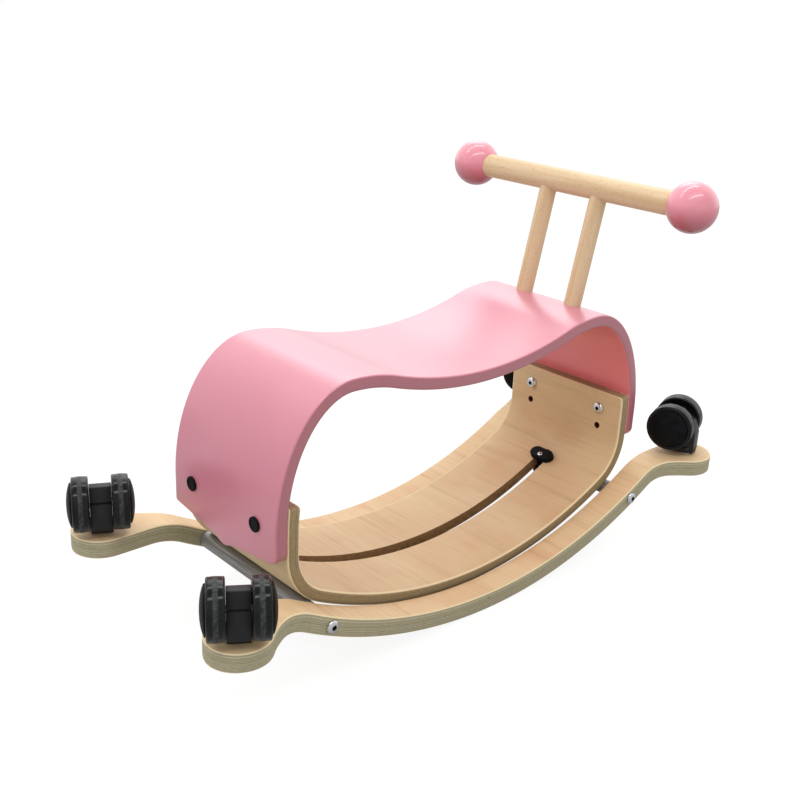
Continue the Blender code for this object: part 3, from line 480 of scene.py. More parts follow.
def markPly(mesh, stations):
    # distance along the moulded curve, across the board, and down from its upper face, in mm
    curve = np.array([(s[0], s[1]) for s in stations])
    steps = np.diff(curve, axis=0)
    lengths = np.hypot(steps[:, 0], steps[:, 1])
    start = np.concatenate(([0], np.cumsum(lengths)))[:-1]
    spots = np.empty(len(mesh.vertices) * 3)
    mesh.vertices.foreach_get("co", spots)
    spots = spots.reshape(-1, 3)
    offset = spots[:, None, ::2] - curve[None, :-1]
    share = np.clip((offset * steps).sum(2) / lengths ** 2, 0, 1)
    gap = offset - share[:, :, None] * steps
    away = np.hypot(gap[:, :, 0], gap[:, :, 1])
    near = away.argmin(1)
    rows = np.arange(len(spots))
    ply = np.stack((start[near] + share[rows, near] * lengths[near], spots[:, 1], away[rows, near]), 1)
    mark = mesh.attributes.new("plyMm", "FLOAT_VECTOR", "POINT")
    mark.data.foreach_set("vector", (ply / mm).astype(np.float32).ravel())


slack = 1.01         # for picking the faces of a cut by their place
print("helpers ready")

# twin wheel of a caster, along its axle from the caster's middle plane
wheel = {"inner": 10 * mm, "width": 15 * mm, "radius": 25.42 * mm, "crown": 0.35 * mm, "shoulder": 1.9 * mm,
         "flank": 4.2 * mm, "hub": 20.5 * mm, "bore": 3.3 * mm, "boreDepth": 10 * mm, "scuffMm": 17.5,
         # groove and step round the cover, in mm from the hub's radius and the tyre's outer face
         "coverRimMm": ((0.9, 0), (0.7, -0.9), (0.1, -0.9), (0, 0), (-0.2, 1.3), (-0.8, 1.8)),
         "bulge": 5 * mm, "domePower": 2.4}
materials = {
    # the base board's tones carry painted shade from the seat above
    "basePlyShaded": birchPlywood("sandedBirchPly12PaintedShade", 12 * mm, 5, baseTonesPaintedShade, 77.2),
    "railPly": birchPlywood("sandedBirchPly18", 18 * mm, 17, railTones, 300),
    "routed": cutBirch("routedBirch", "#A27E54", "#80603E"),
    "drilled": cutBirch("drilledBirchPaintedShade", "#5C3020", "#44220F"),
    "seatPly": pinkLacquer("sprayedPinkLacquer", 12 * mm),
    "ball": ballGloss(),
    "beech": beechDowel(),
    "nylon": mouldedNylon("mouldedNylon", 0.35),
    "cover": mouldedNylon("smoothNylonCover", 0.07),
    "tyre": castPolyurethane(),
    "plate": brightPlate(),
    "socket": socketBlack(),
    "tube": greyTubeCoat(),
    "zinc": zincPlate(),
}
print("materials ready")

# Seat board: saddle between two crests, ends turned down, lower edges a shallow V
seat = {
    "halfWidth": 79.5 * mm, "thickness": 12 * mm, "round": 1.5 * mm,
    "saddleZ": 237.5 * mm, "saddleRadius": 371 * mm, "crestX": 160.3 * mm, "crestRadius": 165.5 * mm,
    "shoulderZ": 139.2 * mm, "wallX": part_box("seat_board")[1][0],
    "edgeZ": 101 * mm, "edgeRise": 0.13, "noseDrop": 3 * mm, "noseHalf": 20 * mm,
    "endRound": 3 * mm, "wornRound": 9 * mm, "margin": 2 * mm,
    "steps": {"saddle": 24, "crest": 14, "shoulder": 44, "wall": 3, "end": 4, "across": 44},
    "edgeShares": [0, 0.012, 0.025, 0.04, 0.06],      # closer columns where the lower corners bend
}
seat["crestAngle"] = math.asin(seat["crestX"] / (seat["saddleRadius"] + seat["crestRadius"]))
seat["crestCentreZ"] = (seat["saddleZ"] + seat["saddleRadius"]
                        - (seat["saddleRadius"] + seat["crestRadius"]) * math.cos(seat["crestAngle"]))
seat["vTop"] = seat["edgeZ"] + seat["edgeRise"] * seat["halfWidth"] + seat["wornRound"] + seat["margin"]


def shoulderStation(turn):
    # quarter of an ellipse from the crest down to the upright end
    width = seat["wallX"] - seat["crestX"]
    height = seat["crestCentreZ"] + seat["crestRadius"] - seat["shoulderZ"]
    normal = Vector((math.sin(turn) / width, math.cos(turn) / height)).normalized()
    return (seat["crestX"] + width * math.sin(turn), seat["shoulderZ"] + height * math.cos(turn),
            normal.x, normal.y)


def seatEdgeDrop(y):
    # how far the lower edge hangs below the highest level of the V
    nose = 0.0
    if abs(y) < seat["noseHalf"]:
        nose = seat["noseDrop"] * (1 + math.cos(math.pi * y / seat["noseHalf"])) / 2
    edge = seat["edgeZ"] + seat["edgeRise"] * abs(y) - nose
    corner = seat["wornRound"] if y < 0 else seat["endRound"]
    flat = seat["halfWidth"] - corner
    if abs(y) > flat:
        run = min(abs(y) - flat, corner)
        edge += corner - math.sqrt(corner ** 2 - run ** 2)
    return seat["vTop"] - edge


def buildSeat():
    angle, steps = seat["crestAngle"], seat["steps"]
    saddle, crest = seat["saddleRadius"], seat["crestRadius"]
    run = arcRun(0, seat["saddleZ"] + saddle, saddle, 0, angle, steps["saddle"], 1)
    run += arcRun(seat["crestX"], seat["crestCentreZ"], crest, -angle, 0, steps["crest"], -1, True)
    run += [shoulderStation(math.pi / 2 * share) for share in shares(steps["shoulder"], 1)]
    wallTop, level = seat["shoulderZ"], seat["vTop"] + seat["round"]
    run += [(seat["wallX"], wallTop + (level - wallTop) * share, 1, 0) for share in shares(steps["wall"], 1)]
    sparse = [0.08 + 0.84 * share for share in shares(steps["across"])]
    columns = seat["edgeShares"] + sparse + [1 - share for share in reversed(seat["edgeShares"])]
    bm = bmesh.new()
    w, t, r = seat["halfWidth"], seat["thickness"], seat["round"]
    half = [boardRing(bm, s, -w, w, t, r, 0, columns) for s in run]
    for turn in [math.radians(20 * i) for i in range(steps["end"] + 1)]:
        station = (seat["wallX"], seat["vTop"] + r - r * math.sin(turn), 1, 0)
        half.append(boardRing(bm, station, -w, w, t, r, r * (1 - math.cos(turn)), columns, seatEdgeDrop))
    closeBoard(bm, half, columns)
    piece = finishMesh("seatBoardLacquered", bm, "seatPly", "seat_board")
    pastEdge = (seat["wallX"], seat["edgeZ"] - 10 * mm, 1, 0)
    markPly(piece.data, bothHalves(run + [pastEdge]))


buildSeat()
print("seat board built")

# Rocker rails: belly, blend and round level pad
rail = {
    "inner": 83.5 * mm, "width": 29 * mm, "thickness": 18 * mm, "round": 1.9 * mm,
    "floorRadius": 476 * mm, "blendRadius": 85 * mm, "padTop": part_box("rail_left")[1][2],
    "padRadius": 28.5 * mm, "padX": 300 * mm, "neckRadius": 70 * mm,
    "steps": {"belly": 50, "blend": 18, "pad": 30, "across": 4},
}
rail["topRadius"] = rail["floorRadius"] - rail["thickness"]
rail["padY"] = rail["inner"] + rail["padRadius"]


def railSides(x):
    # inner and outer side: a strip that widens through the neck to the round pad
    padX, padY, pad, neck = rail["padX"], rail["padY"], rail["padRadius"], rail["neckRadius"]
    inner, outer = rail["inner"], rail["inner"] + rail["width"]
    x, reach = abs(x), pad + neck
    neckX = padX - math.sqrt(reach ** 2 - (outer + neck - padY) ** 2)
    if x > padX + (neckX - padX) * pad / reach:
        outer = padY + math.sqrt(pad ** 2 - (x - padX) ** 2)
    elif x > neckX:
        outer += neck - math.sqrt(neck ** 2 - (x - neckX) ** 2)
    if x > padX:
        inner = padY - math.sqrt(pad ** 2 - (x - padX) ** 2)
    return inner, outer


def buildRail(sideName, side):
    top, blend, steps = rail["topRadius"], rail["blendRadius"], rail["steps"]
    blendZ = rail["padTop"] - blend
    angle = math.acos((rail["floorRadius"] - blendZ) / (top + blend))
    run = arcRun(0, rail["floorRadius"], top, 0, angle, steps["belly"], 1)
    blendX = (top + blend) * math.sin(angle)
    run += arcRun(blendX, blendZ, blend, -angle, 0, steps["blend"], -1, True)
    tip = rail["padX"] + math.sqrt(rail["padRadius"] ** 2 - (2 * rail["round"]) ** 2)
    run += [(blendX + (tip - blendX) * math.sin(math.pi / 2 * share), rail["padTop"], 0, 1)
            for share in shares(steps["pad"], 1)]
    stations = bothHalves(run)
    columns = shares(steps["across"])
    bm = bmesh.new()
    rings = []
    for station in stations:
        low, high = sorted(side * reach for reach in railSides(station[0]))
        rings.append(boardRing(bm, station, low, high, rail["thickness"], rail["round"], 0, columns))
    bridgeRings(bm, rings, columns)
    piece = finishMesh(f"rail{sideName.title()}Veneered", bm, "railPly", f"rail_{sideName}")
    markPly(piece.data, stations)


for sideName, side in sides:
    buildRail(sideName, side)
print("rails built")

# Base board: belly, tight corners and upturned ends that follow the inside of the seat
base = {
    "halfWidth": 79.5 * mm, "thickness": 12 * mm, "round": 1.4 * mm, "bellyRadius": 410 * mm,
    "cornerRadius": 48 * mm, "wallX": 216.5 * mm, "wallTop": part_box("base_board")[1][2],
    "endRound": 2.5 * mm, "gap": 0.3 * mm, "slotHalf": 7.2 * mm, "slotX": 197.84 * mm,
    "slotCut": (-10 * mm, 200 * mm), "holeRadius": 3.6 * mm, "holeY": 49.3 * mm, "holeZ": 118.6 * mm,
    "endStep": 0.4 * mm, "endCap": 0.5 * mm, "endPull": 0.83,
    "steps": {"belly": 44, "corner": 26, "wall": 6, "across": 14},
}
base["centreZ"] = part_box("base_board")[0][2] + base["thickness"] + base["bellyRadius"]


def lapStation(height):
    # follows the seat's inner face: the turn is halved down until the height fits
    if height <= seat["shoulderZ"]:
        return base["wallX"], height, -1, 0
    offset = seat["thickness"] + base["gap"] + base["thickness"]
    upper, lower = 0.0, math.pi / 2
    for _ in range(40):
        turn = (upper + lower) / 2
        x, z, nx, nz = shoulderStation(turn)
        if z - nz * offset > height:
            upper = turn
        else:
            lower = turn
    return x - nx * offset, z - nz * offset, -nx, -nz


def buildBase():
    r, t, w, end = base["round"], base["thickness"], base["halfWidth"], base["endRound"]
    top, steps = base["wallTop"], base["steps"]
    cornerX = base["wallX"] - base["cornerRadius"]
    reach = base["bellyRadius"] - base["cornerRadius"]
    angle = math.asin(cornerX / reach)
    cornerZ = base["centreZ"] - reach * math.cos(angle)
    run = arcRun(0, base["centreZ"], base["bellyRadius"], 0, angle, steps["belly"], 1)
    run += arcRun(cornerX, cornerZ, base["cornerRadius"], angle, math.pi / 2, steps["corner"], 1, True)
    run += [lapStation(cornerZ + (top - end - cornerZ) * share) for share in shares(steps["wall"], 1)]
    columns = shares(steps["across"])
    bm = bmesh.new()
    half = [boardRing(bm, s, -w, w, t, r, 0, columns) for s in run]
    tops = []       # height, pull from the long edges, inset of the section
    for turn in [math.radians(10 * i) for i in range(1, 9)]:
        tops.append((top - end + (end - base["endStep"]) * math.sin(turn), end * (1 - math.cos(turn)), 0))
    for turn in [math.radians(25 * i) for i in range(1, 4)]:
        height = top - base["endCap"] + base["endCap"] * math.sin(turn)
        tops.append((height, end * base["endPull"], r * (1 - math.cos(turn))))
    for height, pull, inset in tops:
        run.append(lapStation(height))
        half.append(boardRing(bm, run[-1], -w + pull, w - pull, t, r, inset, columns))
    closeBoard(bm, half, columns)
    piece = finishMesh("baseBoardVeneered", bm, "basePlyShaded", "base_board")
    wide, slotX = base["slotHalf"], base["slotX"]
    slot = arcPoints(slotX - wide, 0, wide, -90, 90, 16) + arcPoints(wide - slotX, 0, wide, 90, 270, 16)
    carve(piece, prism(slot, *base["slotCut"]))
    for side in (1, -1):
        for wallX in (base["wallX"], -base["wallX"]):
            hole = rod(base["holeRadius"], -30 * mm, 30 * mm, 24)
            hole.transform(xFrame(wallX, side * base["holeY"], base["holeZ"], 1))
            carve(piece, hole)
    piece.data.materials.append(materials["routed"])
    piece.data.materials.append(materials["drilled"])
    for face in piece.data.polygons:
        x, y, z = face.center
        if abs(y) < slack * wide and abs(x) < slotX and abs(face.normal.z) < 0.1:
            face.material_index = 1
        # hole walls take the drilled tone, dark as painted shade inside the holes
        fromHole = math.hypot(abs(y) - base["holeY"], z - base["holeZ"])
        if fromHole < slack * base["holeRadius"] and abs(face.normal.x) < 0.2:
            face.material_index = 2
    piece.data.attributes.remove(piece.data.attributes["partMm"])
    markPly(piece.data, bothHalves(run))


buildBase()
print("base board built")

# Handlebar: crossbar, two uprights and two balls
handlebar = {
    "x": 198 * mm, "z": 380 * mm, "barRadius": 12.5 * mm, "ballRadius": 24.98 * mm, "ballY": 144.7 * mm,
    "barEnd": 6 * mm, "uprightRadius": 9 * mm, "uprightY": 33.8 * mm, "lean": math.radians(12.8),
    "uprightTop": -6 * mm, "rows": 12,
}


def buildHandlebar():
    bar = handlebar
    reach = bar["ballY"] - bar["barEnd"]
    rows = [(bar["barRadius"], reach * (2 * share - 1)) for share in shares(bar["rows"])]
    finishMesh("crossbarBeech", turned([(0, -reach)] + rows + [(0, reach)], 72), "beech", "crossbar",
               yFrame(bar["x"], 0, bar["z"]))
    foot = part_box("upright_left")[0][2] + bar["uprightRadius"] * math.sin(bar["lean"])
    length = (bar["z"] - foot) / math.cos(bar["lean"])
    for sideName, side in sides:
        place = (Matrix.Translation((bar["x"], side * bar["uprightY"], bar["z"]))
                 @ Matrix.Rotation(bar["lean"], 4, "Y"))
        dowel = rod(bar["uprightRadius"], -length, bar["uprightTop"], 56)
        finishMesh(f"upright{sideName.title()}Beech", dowel, "beech", f"upright_{sideName}", place)
        ring = arcPoints(0, 0, bar["ballRadius"], -90, 90, 48)
        ring[0], ring[-1] = (0, ring[0][1]), (0, ring[-1][1])
        finishMesh(f"ball{sideName.title()}Enamelled", turned(ring, 96), "ball", f"ball_{sideName}",
                   yFrame(bar["x"], side * bar["ballY"], bar["z"]))


buildHandlebar()
print("handlebar built")

# Cross tubes and bolts
tube = {"x": 206 * mm, "radius": 8 * mm, "wall": 1.3 * mm, "z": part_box("cross_tube_front")[0][2] + 8 * mm,
        "end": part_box("cross_tube_front")[1][1]}
bolt = {"socket": 2.5 * mm, "shank": 3 * mm, "gap": 0.3 * mm, "z": 139.2 * mm,
        # radius and height of the head, and where the shank ends
        "rail": (6.3 * mm, 3.1 * mm, -40 * mm), "seat": (6.5 * mm, 3.3 * mm, -22 * mm)}


def buttonHead(radius, height, shankEnd):
    # domed button head on z = 0 over its shank
    dome = [(radius, 0), (radius * 0.995, height * 0.18)]
    for i in range(1, 9):
        turn = math.radians(9.6 * i)
        dome.append((radius * (0.36 + 0.635 * math.cos(turn)), height * (0.2 + 0.8 * math.sin(turn))))
    shank = [(0, shankEnd), (bolt["shank"], shankEnd), (bolt["shank"], 0)]
    return turned(shank + dome + [(radius * 0.4, height), (0, height)], 48)


def placeBolt(kind, endName, sideName, place):
    radius, height, shankEnd = bolt[kind]
    piece = finishMesh(f"{kind}Bolt{endName.title()}{sideName.title()}Plated",
                       buttonHead(radius, height, shankEnd), "plate", f"{kind}_bolt_{endName}_{sideName}")
    piece.data.materials.append(materials["socket"])
    wide = bolt["socket"]
    carve(piece, turned([(0, height * 0.2), (wide, height * 0.3), (wide, height * 2), (0, height * 2)], 6))
    reach = wide * slack
    for face in piece.data.polygons:
        inside = all(math.hypot(*piece.data.vertices[i].co[:2]) < reach for i in face.vertices)
        if inside and face.center.z > height * 0.1:
            face.material_index = 1
    piece.data.transform(place)


def buildTubesAndBolts():
    reach, outside, inside = tube["end"], tube["radius"], tube["radius"] - tube["wall"]
    railFace = rail["inner"] + rail["width"] + bolt["gap"]
    wallFace = base["wallX"] - bolt["gap"]
    for endName, end in ends:
        bm = turned([(inside, -reach), (outside, -reach), (outside, reach), (inside, reach),
                     (inside, -reach)], 64)
        bmesh.ops.remove_doubles(bm, verts=bm.verts, dist=1e-6)
        finishMesh(f"crossTube{endName.title()}Coated", bm, "tube", f"cross_tube_{endName}",
                   yFrame(end * tube["x"], 0, tube["z"]))
        for sideName, side in sides:
            placeBolt("rail", endName, sideName,
                      yFrame(end * tube["x"], side * railFace, tube["z"], side))
            placeBolt("seat", endName, sideName,
                      xFrame(end * wallFace, side * base["holeY"], bolt["z"], -end))


buildTubesAndBolts()
print("tubes and bolts built")

# turns a prism's outline upright, so that its height runs along Z and its length along -Y
layDown = Matrix(((1, 0, 0, 0), (0, 0, -1, 0), (0, 1, 0, 0), (0, 0, 0, 1)))

# Casters: local X runs along the trail, z = 0 is the pad
caster = {
    "x": rail["padX"], "y": rail["padY"], "z": rail["padTop"], "trail": 15.5 * mm, "axle": 32.2 * mm,
    "hoodWidth": 19.4 * mm, "flange": 12 * mm, "foot": 2.4 * mm, "flangeTop": 8.4 * mm,
    "stem": 4.3 * mm, "stemDepth": 25.3 * mm, "edge": 0.45 * mm, "rimLow": 0.5 * mm, "rimHigh": 0.8 * mm,
    # side outline of the hood from its foot round by the tail: x, z and corner radius; the low foot runs out
    # to 18.6 mm, partly a real flange and partly a black stand-in for the shade on the pad under the hood
    "outlineMm": ((-10.85, 2.4, 1.2), (18.6, 2.4, 1.2), (18.6, 6.4, 2), (26, 9.4, 1.6), (26, 23.8, 1.2),
                  (20.5, 33, 0.5), (22.5, 36, 0.9), (17.5, 49, 1.3), (8.525, 49, 6), (-6.85, 38.2, 5),
                  (-10.85, 24.2, 5)),
    "heading": {"frontLeft": 125, "frontRight": 110, "rearLeft": -116, "rearRight": -122.5},
}


def roundedOutline(corners, count=6):
    # replaces each corner (x, y, radius) by an arc that fits between its neighbours
    outline = []
    for i, (x, y, radius) in enumerate(corners):
        here = Vector((x, y))
        back = Vector(corners[i - 1][:2]) - here
        forth = Vector(corners[(i + 1) % len(corners)][:2]) - here
        half = back.angle(forth) / 2
        reach = min(radius / math.tan(half), back.length / 2.05, forth.length / 2.05)
        bend = reach * math.tan(half)
        centre = here + (back.normalized() + forth.normalized()).normalized() * (bend / math.sin(half))
        arm = here + back.normalized() * reach - centre
        farArm = here + forth.normalized() * reach - centre
        start = math.atan2(arm.y, arm.x)
        sweep = math.atan2(arm.x * farArm.y - arm.y * farArm.x, arm.dot(farArm))
        outline += arcPoints(*centre, bend, math.degrees(start), math.degrees(start + sweep), count)
    return outline


def softenRims(bm, level, offset):
    # rounds the sharp edges at both ends of a prism
    rims = [edge for edge in bm.edges if all(abs(abs(v.co.z) - level) < 0.01 * mm for v in edge.verts)
            and len(edge.link_faces) == 2 and abs(edge.calc_face_angle()) > 1]
    bmesh.ops.bevel(bm, geom=rims, offset=offset, segments=3, profile=0.5, affect="EDGES")


def buildHood(name, nodeName, body, place):
    half = caster["hoodWidth"] / 2
    outline = [[size * mm for size in corner] for corner in caster["outlineMm"]]
    bm = prism(roundedOutline(outline), -half, half)
    softenRims(bm, half, caster["edge"])
    bm.transform(layDown)
    piece = finishMesh(name, bm, "nylon", nodeName, body=body, sharpDeg=28)
    low, high, wide = caster["foot"], caster["flangeTop"], caster["flange"]
    under, over = caster["rimLow"], caster["rimHigh"]
    carve(piece, turned([(0, low), (wide - under, low), (wide, low + under), (wide, high - over),
                         (wide - over, high), (0, high)], 64), "UNION")
    carve(piece, rod(caster["stem"], 0, caster["stemDepth"]))
    axleBore = rod(wheel["bore"], -2 * half, 2 * half)
    axleBore.transform(yFrame(caster["trail"], 0, caster["axle"]))
    carve(piece, axleBore)
    piece.data.transform(place)


def buildWheel(name, nodeName, place):
    body = nodeName      # each wheel is a body of its own
    inner, radius, soft, hub = wheel["inner"], wheel["radius"], wheel["shoulder"], wheel["hub"]
    outer, blind = inner + wheel["width"], inner + wheel["boreDepth"]
    profile = [(0, blind), (wheel["bore"], blind), (wheel["bore"], inner),
               (radius - wheel["flank"], inner), (radius - soft, inner)]
    profile += arcPoints(radius - soft, inner + soft, soft, -70, -12, 5)
    for share in [(i - 5) / 5 for i in range(11)]:      # slightly crowned tread
        profile.append((radius - wheel["crown"] * share ** 2,
                        (inner + outer) / 2 + share * (wheel["width"] / 2 - soft)))
    profile += arcPoints(radius - soft, outer - soft, soft, 12, 90, 6)
    coverStart, steps = len(profile) + 1, 96
    profile += [(hub + x * mm, outer + z * mm) for x, z in wheel["coverRimMm"]]
    rim, shelf = profile[-1]
    for share in [1 - i / 8 for i in range(1, 9)]:
        dome = (outer + wheel["bulge"] - shelf) * (1 - share ** wheel["domePower"])
        profile.append((rim * share, shelf + dome))
    piece = finishMesh(name, turned(profile, steps), "tyre", nodeName, place, body, 30)
    piece.data.materials.append(materials["cover"])
    for face in piece.data.polygons:
        if face.index // steps >= coverStart:
            face.material_index = 1


def buildCasters():
    for endName, end, sideName, side in fourCorners:
        corner, node = endName + sideName.title(), f"caster_{endName}_{sideName}"
        stand = (Matrix.Translation((end * caster["x"], side * caster["y"], caster["z"]))
                 @ Matrix.Rotation(math.radians(caster["heading"][corner]), 4, "Z"))
        buildHood(f"{corner}HoodMoulded", f"{node}_hood", node, stand)
        for letter, facing in (("a", 1), ("b", -1)):
            place = stand @ yFrame(caster["trail"], 0, caster["axle"], facing)
            buildWheel(f"{corner}Wheel{letter.upper()}Cast", f"{node}_wheel_{letter}", place)


buildCasters()
print("casters built")

# Slot clamps and wall caps
clamp = {"reach": 188 * mm, "span": 30 * mm, "length": 15 * mm, "height": 6 * mm, "gap": 0.3 * mm,
         "round": 1.3 * mm, "stemLength": 7 * mm, "stemSpan": 11 * mm, "bore": 2.1 * mm,
         "hookReach": 12 * mm, "hookLipDeg": 228, "hookWall": 1.8 * mm, "hookSpan": 22 * mm}
clampScrew = {"head": 2.9 * mm, "rise": 0.9 * mm, "rim": 0.1 * mm, "shank": 1.8 * mm, "length": 24 * mm,
              "crossLong": 1.7 * mm, "crossWide": 0.42 * mm, "crossDepth": 0.3 * mm}
cap = {"radius": 7 * mm, "height": 1.8 * mm, "round": 0.8 * mm, "dish": 0.35 * mm, "bore": 3.3 * mm,
       "depth": 1.1 * mm}


def clampFrame(end):
    # on the board's upper face, with local X along the board toward its end
    angle = math.asin(clamp["reach"] / base["bellyRadius"])
    turn = Matrix.Identity(4) if end > 0 else Matrix.Rotation(math.pi, 4, "Z")
    height = base["centreZ"] - base["bellyRadius"] * math.cos(angle)
    return turn @ Matrix.Translation((clamp["reach"], 0, height)) @ Matrix.Rotation(-angle, 4, "Y")


def tubeFromClamp():
    return clampFrame(1).inverted() @ Vector((tube["x"], 0, tube["z"]))


def buildClamp(endName, end):
    place = clampFrame(end)
    stemX = tubeFromClamp().x - tube["radius"] - clamp["stemLength"] / 2 - 2 * clamp["gap"]
    low, high = clamp["gap"], clamp["gap"] + clamp["height"]
    half, run = clamp["length"] / 2, (clamp["span"] - clamp["length"]) / 2
    outline = arcPoints(0, run, half, 0, 180, 24) + arcPoints(0, -run, half, 180, 360, 24)
    bm = prism(outline, low, high)
    tops = [edge for edge in bm.edges if all(v.co.z > high - 0.01 * mm for v in edge.verts)]
    bmesh.ops.bevel(bm, geom=tops, offset=clamp["round"], segments=5, profile=0.5, affect="EDGES")
    head = finishMesh(f"clampHead{endName.title()}Moulded", bm, "cover", f"clamp_head_{endName}", sharpDeg=40)
    long, side = clamp["stemLength"] / 2, clamp["stemSpan"] / 2
    stem = [(stemX - long, -side), (stemX + long, -side), (stemX + long, side), (stemX - long, side)]
    carve(head, prism(stem, -base["thickness"], low + clamp["height"] / 2), "UNION")
    bore = rod(clamp["bore"], -30 * mm, 30 * mm, 24)
    bore.transform(Matrix.Translation((stemX, 0, 0)))
    carve(head, bore)
    head.data.transform(place)
    buildClampScrew(endName, high, place @ Matrix.Translation((stemX, 0, 0)))


def buildClampScrew(endName, high, place):
    wide, rise, shank = clampScrew["head"], clampScrew["rise"], clampScrew["shank"]
    tip, rim = high - clampScrew["length"], high + clampScrew["rim"]
    profile = [(0, tip), (shank, tip), (shank, high), (wide, rim)]
    profile += [(wide * math.cos(math.radians(a)), rim + rise * math.sin(math.radians(a)))
                for a in (15, 35, 55, 75)] + [(0, rim + rise)]
    screw = finishMesh(f"clampScrew{endName.title()}Plated", turned(profile, 40), "plate",
                       f"clamp_screw_{endName}")
    screw.data.materials.append(materials["socket"])
    long, narrow = clampScrew["crossLong"], clampScrew["crossWide"]
    floorZ = high - clampScrew["crossDepth"]
    for x, y in ((long, narrow), (narrow, long)):
        carve(screw, prism([(-x, -y), (x, -y), (x, y), (-x, y)], floorZ, high + 5 * mm))
    for face in screw.data.polygons:
        sunk = face.center.z < high + 0.05 * mm and face.normal.z > 0.9
        if sunk and math.hypot(*face.center[:2]) < long:
            face.material_index = 1
    screw.data.transform(place)


def buildHook(endName, end):
    # block under the board that bears on the inner side of the cross tube
    inward = tubeFromClamp()
    bite = tube["radius"] + clamp["gap"]
    top = -base["thickness"] - 2 * clamp["gap"]
    back = inward.x - bite - clamp["hookReach"]
    start = 180 - math.degrees(math.asin((top - clamp["gap"] - inward.z) / bite))
    grip = arcPoints(inward.x, inward.z, bite, start, clamp["hookLipDeg"], 10)
    lipX, lipZ = grip[-1]
    wall = clamp["hookWall"]
    outline = [(back, top), (grip[0][0], top)] + grip
    outline += [(lipX - wall / 2, lipZ - wall), (back + wall, lipZ - wall), (back, lipZ)]
    bm = prism(outline, -clamp["hookSpan"] / 2, clamp["hookSpan"] / 2)
    bm.transform(layDown)
    finishMesh(f"clampHook{endName.title()}Moulded", bm, "nylon", f"clamp_hook_{endName}", clampFrame(end))


def buildCaps():
    low = seat["wallX"] + bolt["gap"]
    wide, top, soft = cap["radius"], low + cap["height"], cap["round"]
    profile = [(0, low + cap["depth"]), (cap["bore"], low + cap["depth"]), (cap["bore"], low), (wide, low)]
    profile += arcPoints(wide - soft, top - soft, soft, 0, 90, 5)
    profile += [(wide * 0.7, top), (wide * 0.66, top - cap["dish"]), (0, top - cap["dish"])]
    for endName, end, sideName, side in fourCorners:
        finishMesh(f"wallCap{endName.title()}{sideName.title()}Moulded", turned(profile, 48), "cover",
                   f"seat_cap_{endName}_{sideName}", xFrame(0, side * base["holeY"], bolt["z"], end))


for endName, end in ends:
    buildClamp(endName, end)
    buildHook(endName, end)
buildCaps()
print("clamps and caps built")


def dressFrameNodes():
    # hidden pins and plugs keep their CAD shape and get their finish
    for name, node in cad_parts.items():
        if name.startswith("tube_insert") or name.endswith(("_stem", "_axle")):
            for slotEntry in node.material_slots:
                slotEntry.material = materials["zinc"]


dressFrameNodes()


# Stage: pale floor, soft lights and the camera

def buildStage():
    # a white sweep: bright behind the object, dimmer on the camera's side, so that dark parts stay dark
    bpy.ops.mesh.primitive_plane_add(size=14, location=(0, 0, cadBox[0][2] - 0.05 * mm))
    floor = bpy.context.active_object
    floor.name = "paleFloor"
    material = bpy.data.materials.new("paleFloor")
    material.use_nodes = True
    material.node_tree.nodes.clear()
    add = partial(addNode, material.node_tree)
    seen = add("LightPath")
    away = add("VectorMath", add("NewGeometry"), operation="LENGTH")
    painted, bounce = [(*[stage[key]] * 3, 1) for key in ("floorPaint", "floorBounce")]
    matte = add("BsdfDiffuse", add("Mix", seen, bounce, painted, **blended))
    far = add("MapRange", away, *stage["fade"], stage["floorGlow"], 1, **eased)
    mixed = add("MixShader", add("Math", far, seen, operation="MULTIPLY"), matte,
                add("Emission", white, stage["floorWhite"]))
    add("OutputMaterial", mixed)
    floor.data.materials.append(material)

    world = bpy.data.worlds.new("paleRoom")
    bpy.context.scene.world = world
    world.use_nodes = True
    world.node_tree.nodes.clear()
    add = partial(addNode, world.node_tree)
    ray = add("TexCoord")
    strength = stage["roomLight"]
    for direction, power, low, high in stage["lobes"]:
        toward = add("VectorMath", ray, direction, operation="DOT_PRODUCT")
        lobe = add("MapRange", toward, low, high, 0, power, **eased)
        strength = add("Math", lobe, strength, operation="ADD")
    soft, plain = add("Background", white, strength), add("Background", white, 1.0)
    add("OutputWorld", add("MixShader", add("LightPath"), soft, plain))


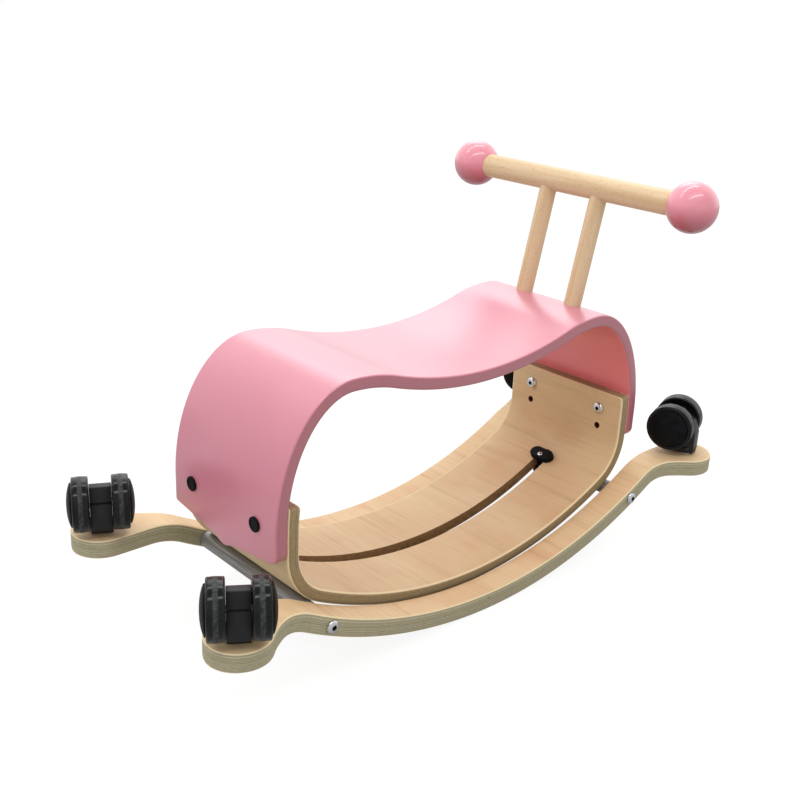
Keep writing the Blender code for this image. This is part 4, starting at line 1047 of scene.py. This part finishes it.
def addStrip(name, start, end, width, power):
    # strip softbox between two points, turned about its length to face the middle of the object
    start, end = Vector(start), Vector(end)
    lamp = bpy.data.lights.new(name, "AREA")
    lamp.shape = "RECTANGLE"
    lamp.size = (end - start).length
    lamp.size_y = width
    lamp.energy = power
    item = bpy.data.objects.new(name, lamp)
    middle, along = (start + end) / 2, (end - start).normalized()
    away = middle - Vector(stage["middle"])
    away = (away - along * away.dot(along)).normalized()
    place = Matrix((along, away.cross(along), away)).transposed().to_4x4()
    place.translation = middle
    item.matrix_world = place
    bpy.context.collection.objects.link(item)


def addCamera():
    look = {"azimuth": math.radians(-42.58), "elevation": math.radians(21.12), "roll": math.radians(2.62),
            "spot": (-0.71564, -0.73926, 0.5775), "lens": 49.77}
    camera = bpy.data.cameras.new("photoCamera")
    camera.lens = look["lens"]
    camera.sensor_width = 36
    camera.clip_start = 0.01
    item = bpy.data.objects.new("photoCamera", camera)
    a, e, r = look["azimuth"], look["elevation"], look["roll"]
    back = Vector((math.sin(a) * math.cos(e), -math.cos(a) * math.cos(e), math.sin(e)))
    level = Vector((math.cos(a), math.sin(a), 0))
    rise = back.cross(level)
    right = level * math.cos(r) + rise * math.sin(r)
    up = rise * math.cos(r) - level * math.sin(r)
    place = Matrix((right, up, back)).transposed().to_4x4()
    place.translation = look["spot"]
    item.matrix_world = place
    bpy.context.collection.objects.link(item)
    bpy.context.scene.camera = item


white = (1, 1, 1, 1)
stage = {
    "floorPaint": 0.86, "floorBounce": 0.5, "floorWhite": 1.05, "floorGlow": 0.86, "fade": (0.45, 1.1),
    "roomLight": 0.28, "middle": (0, 0, 0.15),
    # direction, power, and the cosines where the lobe starts and is full: the bright sweep behind,
    # the wall that carries it, left and near side, and a high window at the rear
    "lobes": (((0.51, 0.57, 0.64), 1.8, 0.92, 0.995), ((0.77, 0.63, 0.1), 0.95, 0.0, 0.75),
              ((-0.736, 0.676, 0.1), 0.45, 0.3, 0.97), ((0.15, -0.97, 0.15), 0.5, -0.1, 0.9),
              ((-0.75, 0.1, 0.65), 0.45, 0.45, 0.95)),
}
buildStage()
addCamera()
addStrip("overheadBack", (-1.3, 1.27, 1.98), (1.12, 0.14, 1.98), 0.22, 11.8)
addStrip("overheadFront", (-1.5, -0.3, 1.98), (0.55, -1.15, 1.98), 0.22, 10.8)
bpy.context.scene.view_settings.view_transform = "Standard"
print("stage ready")
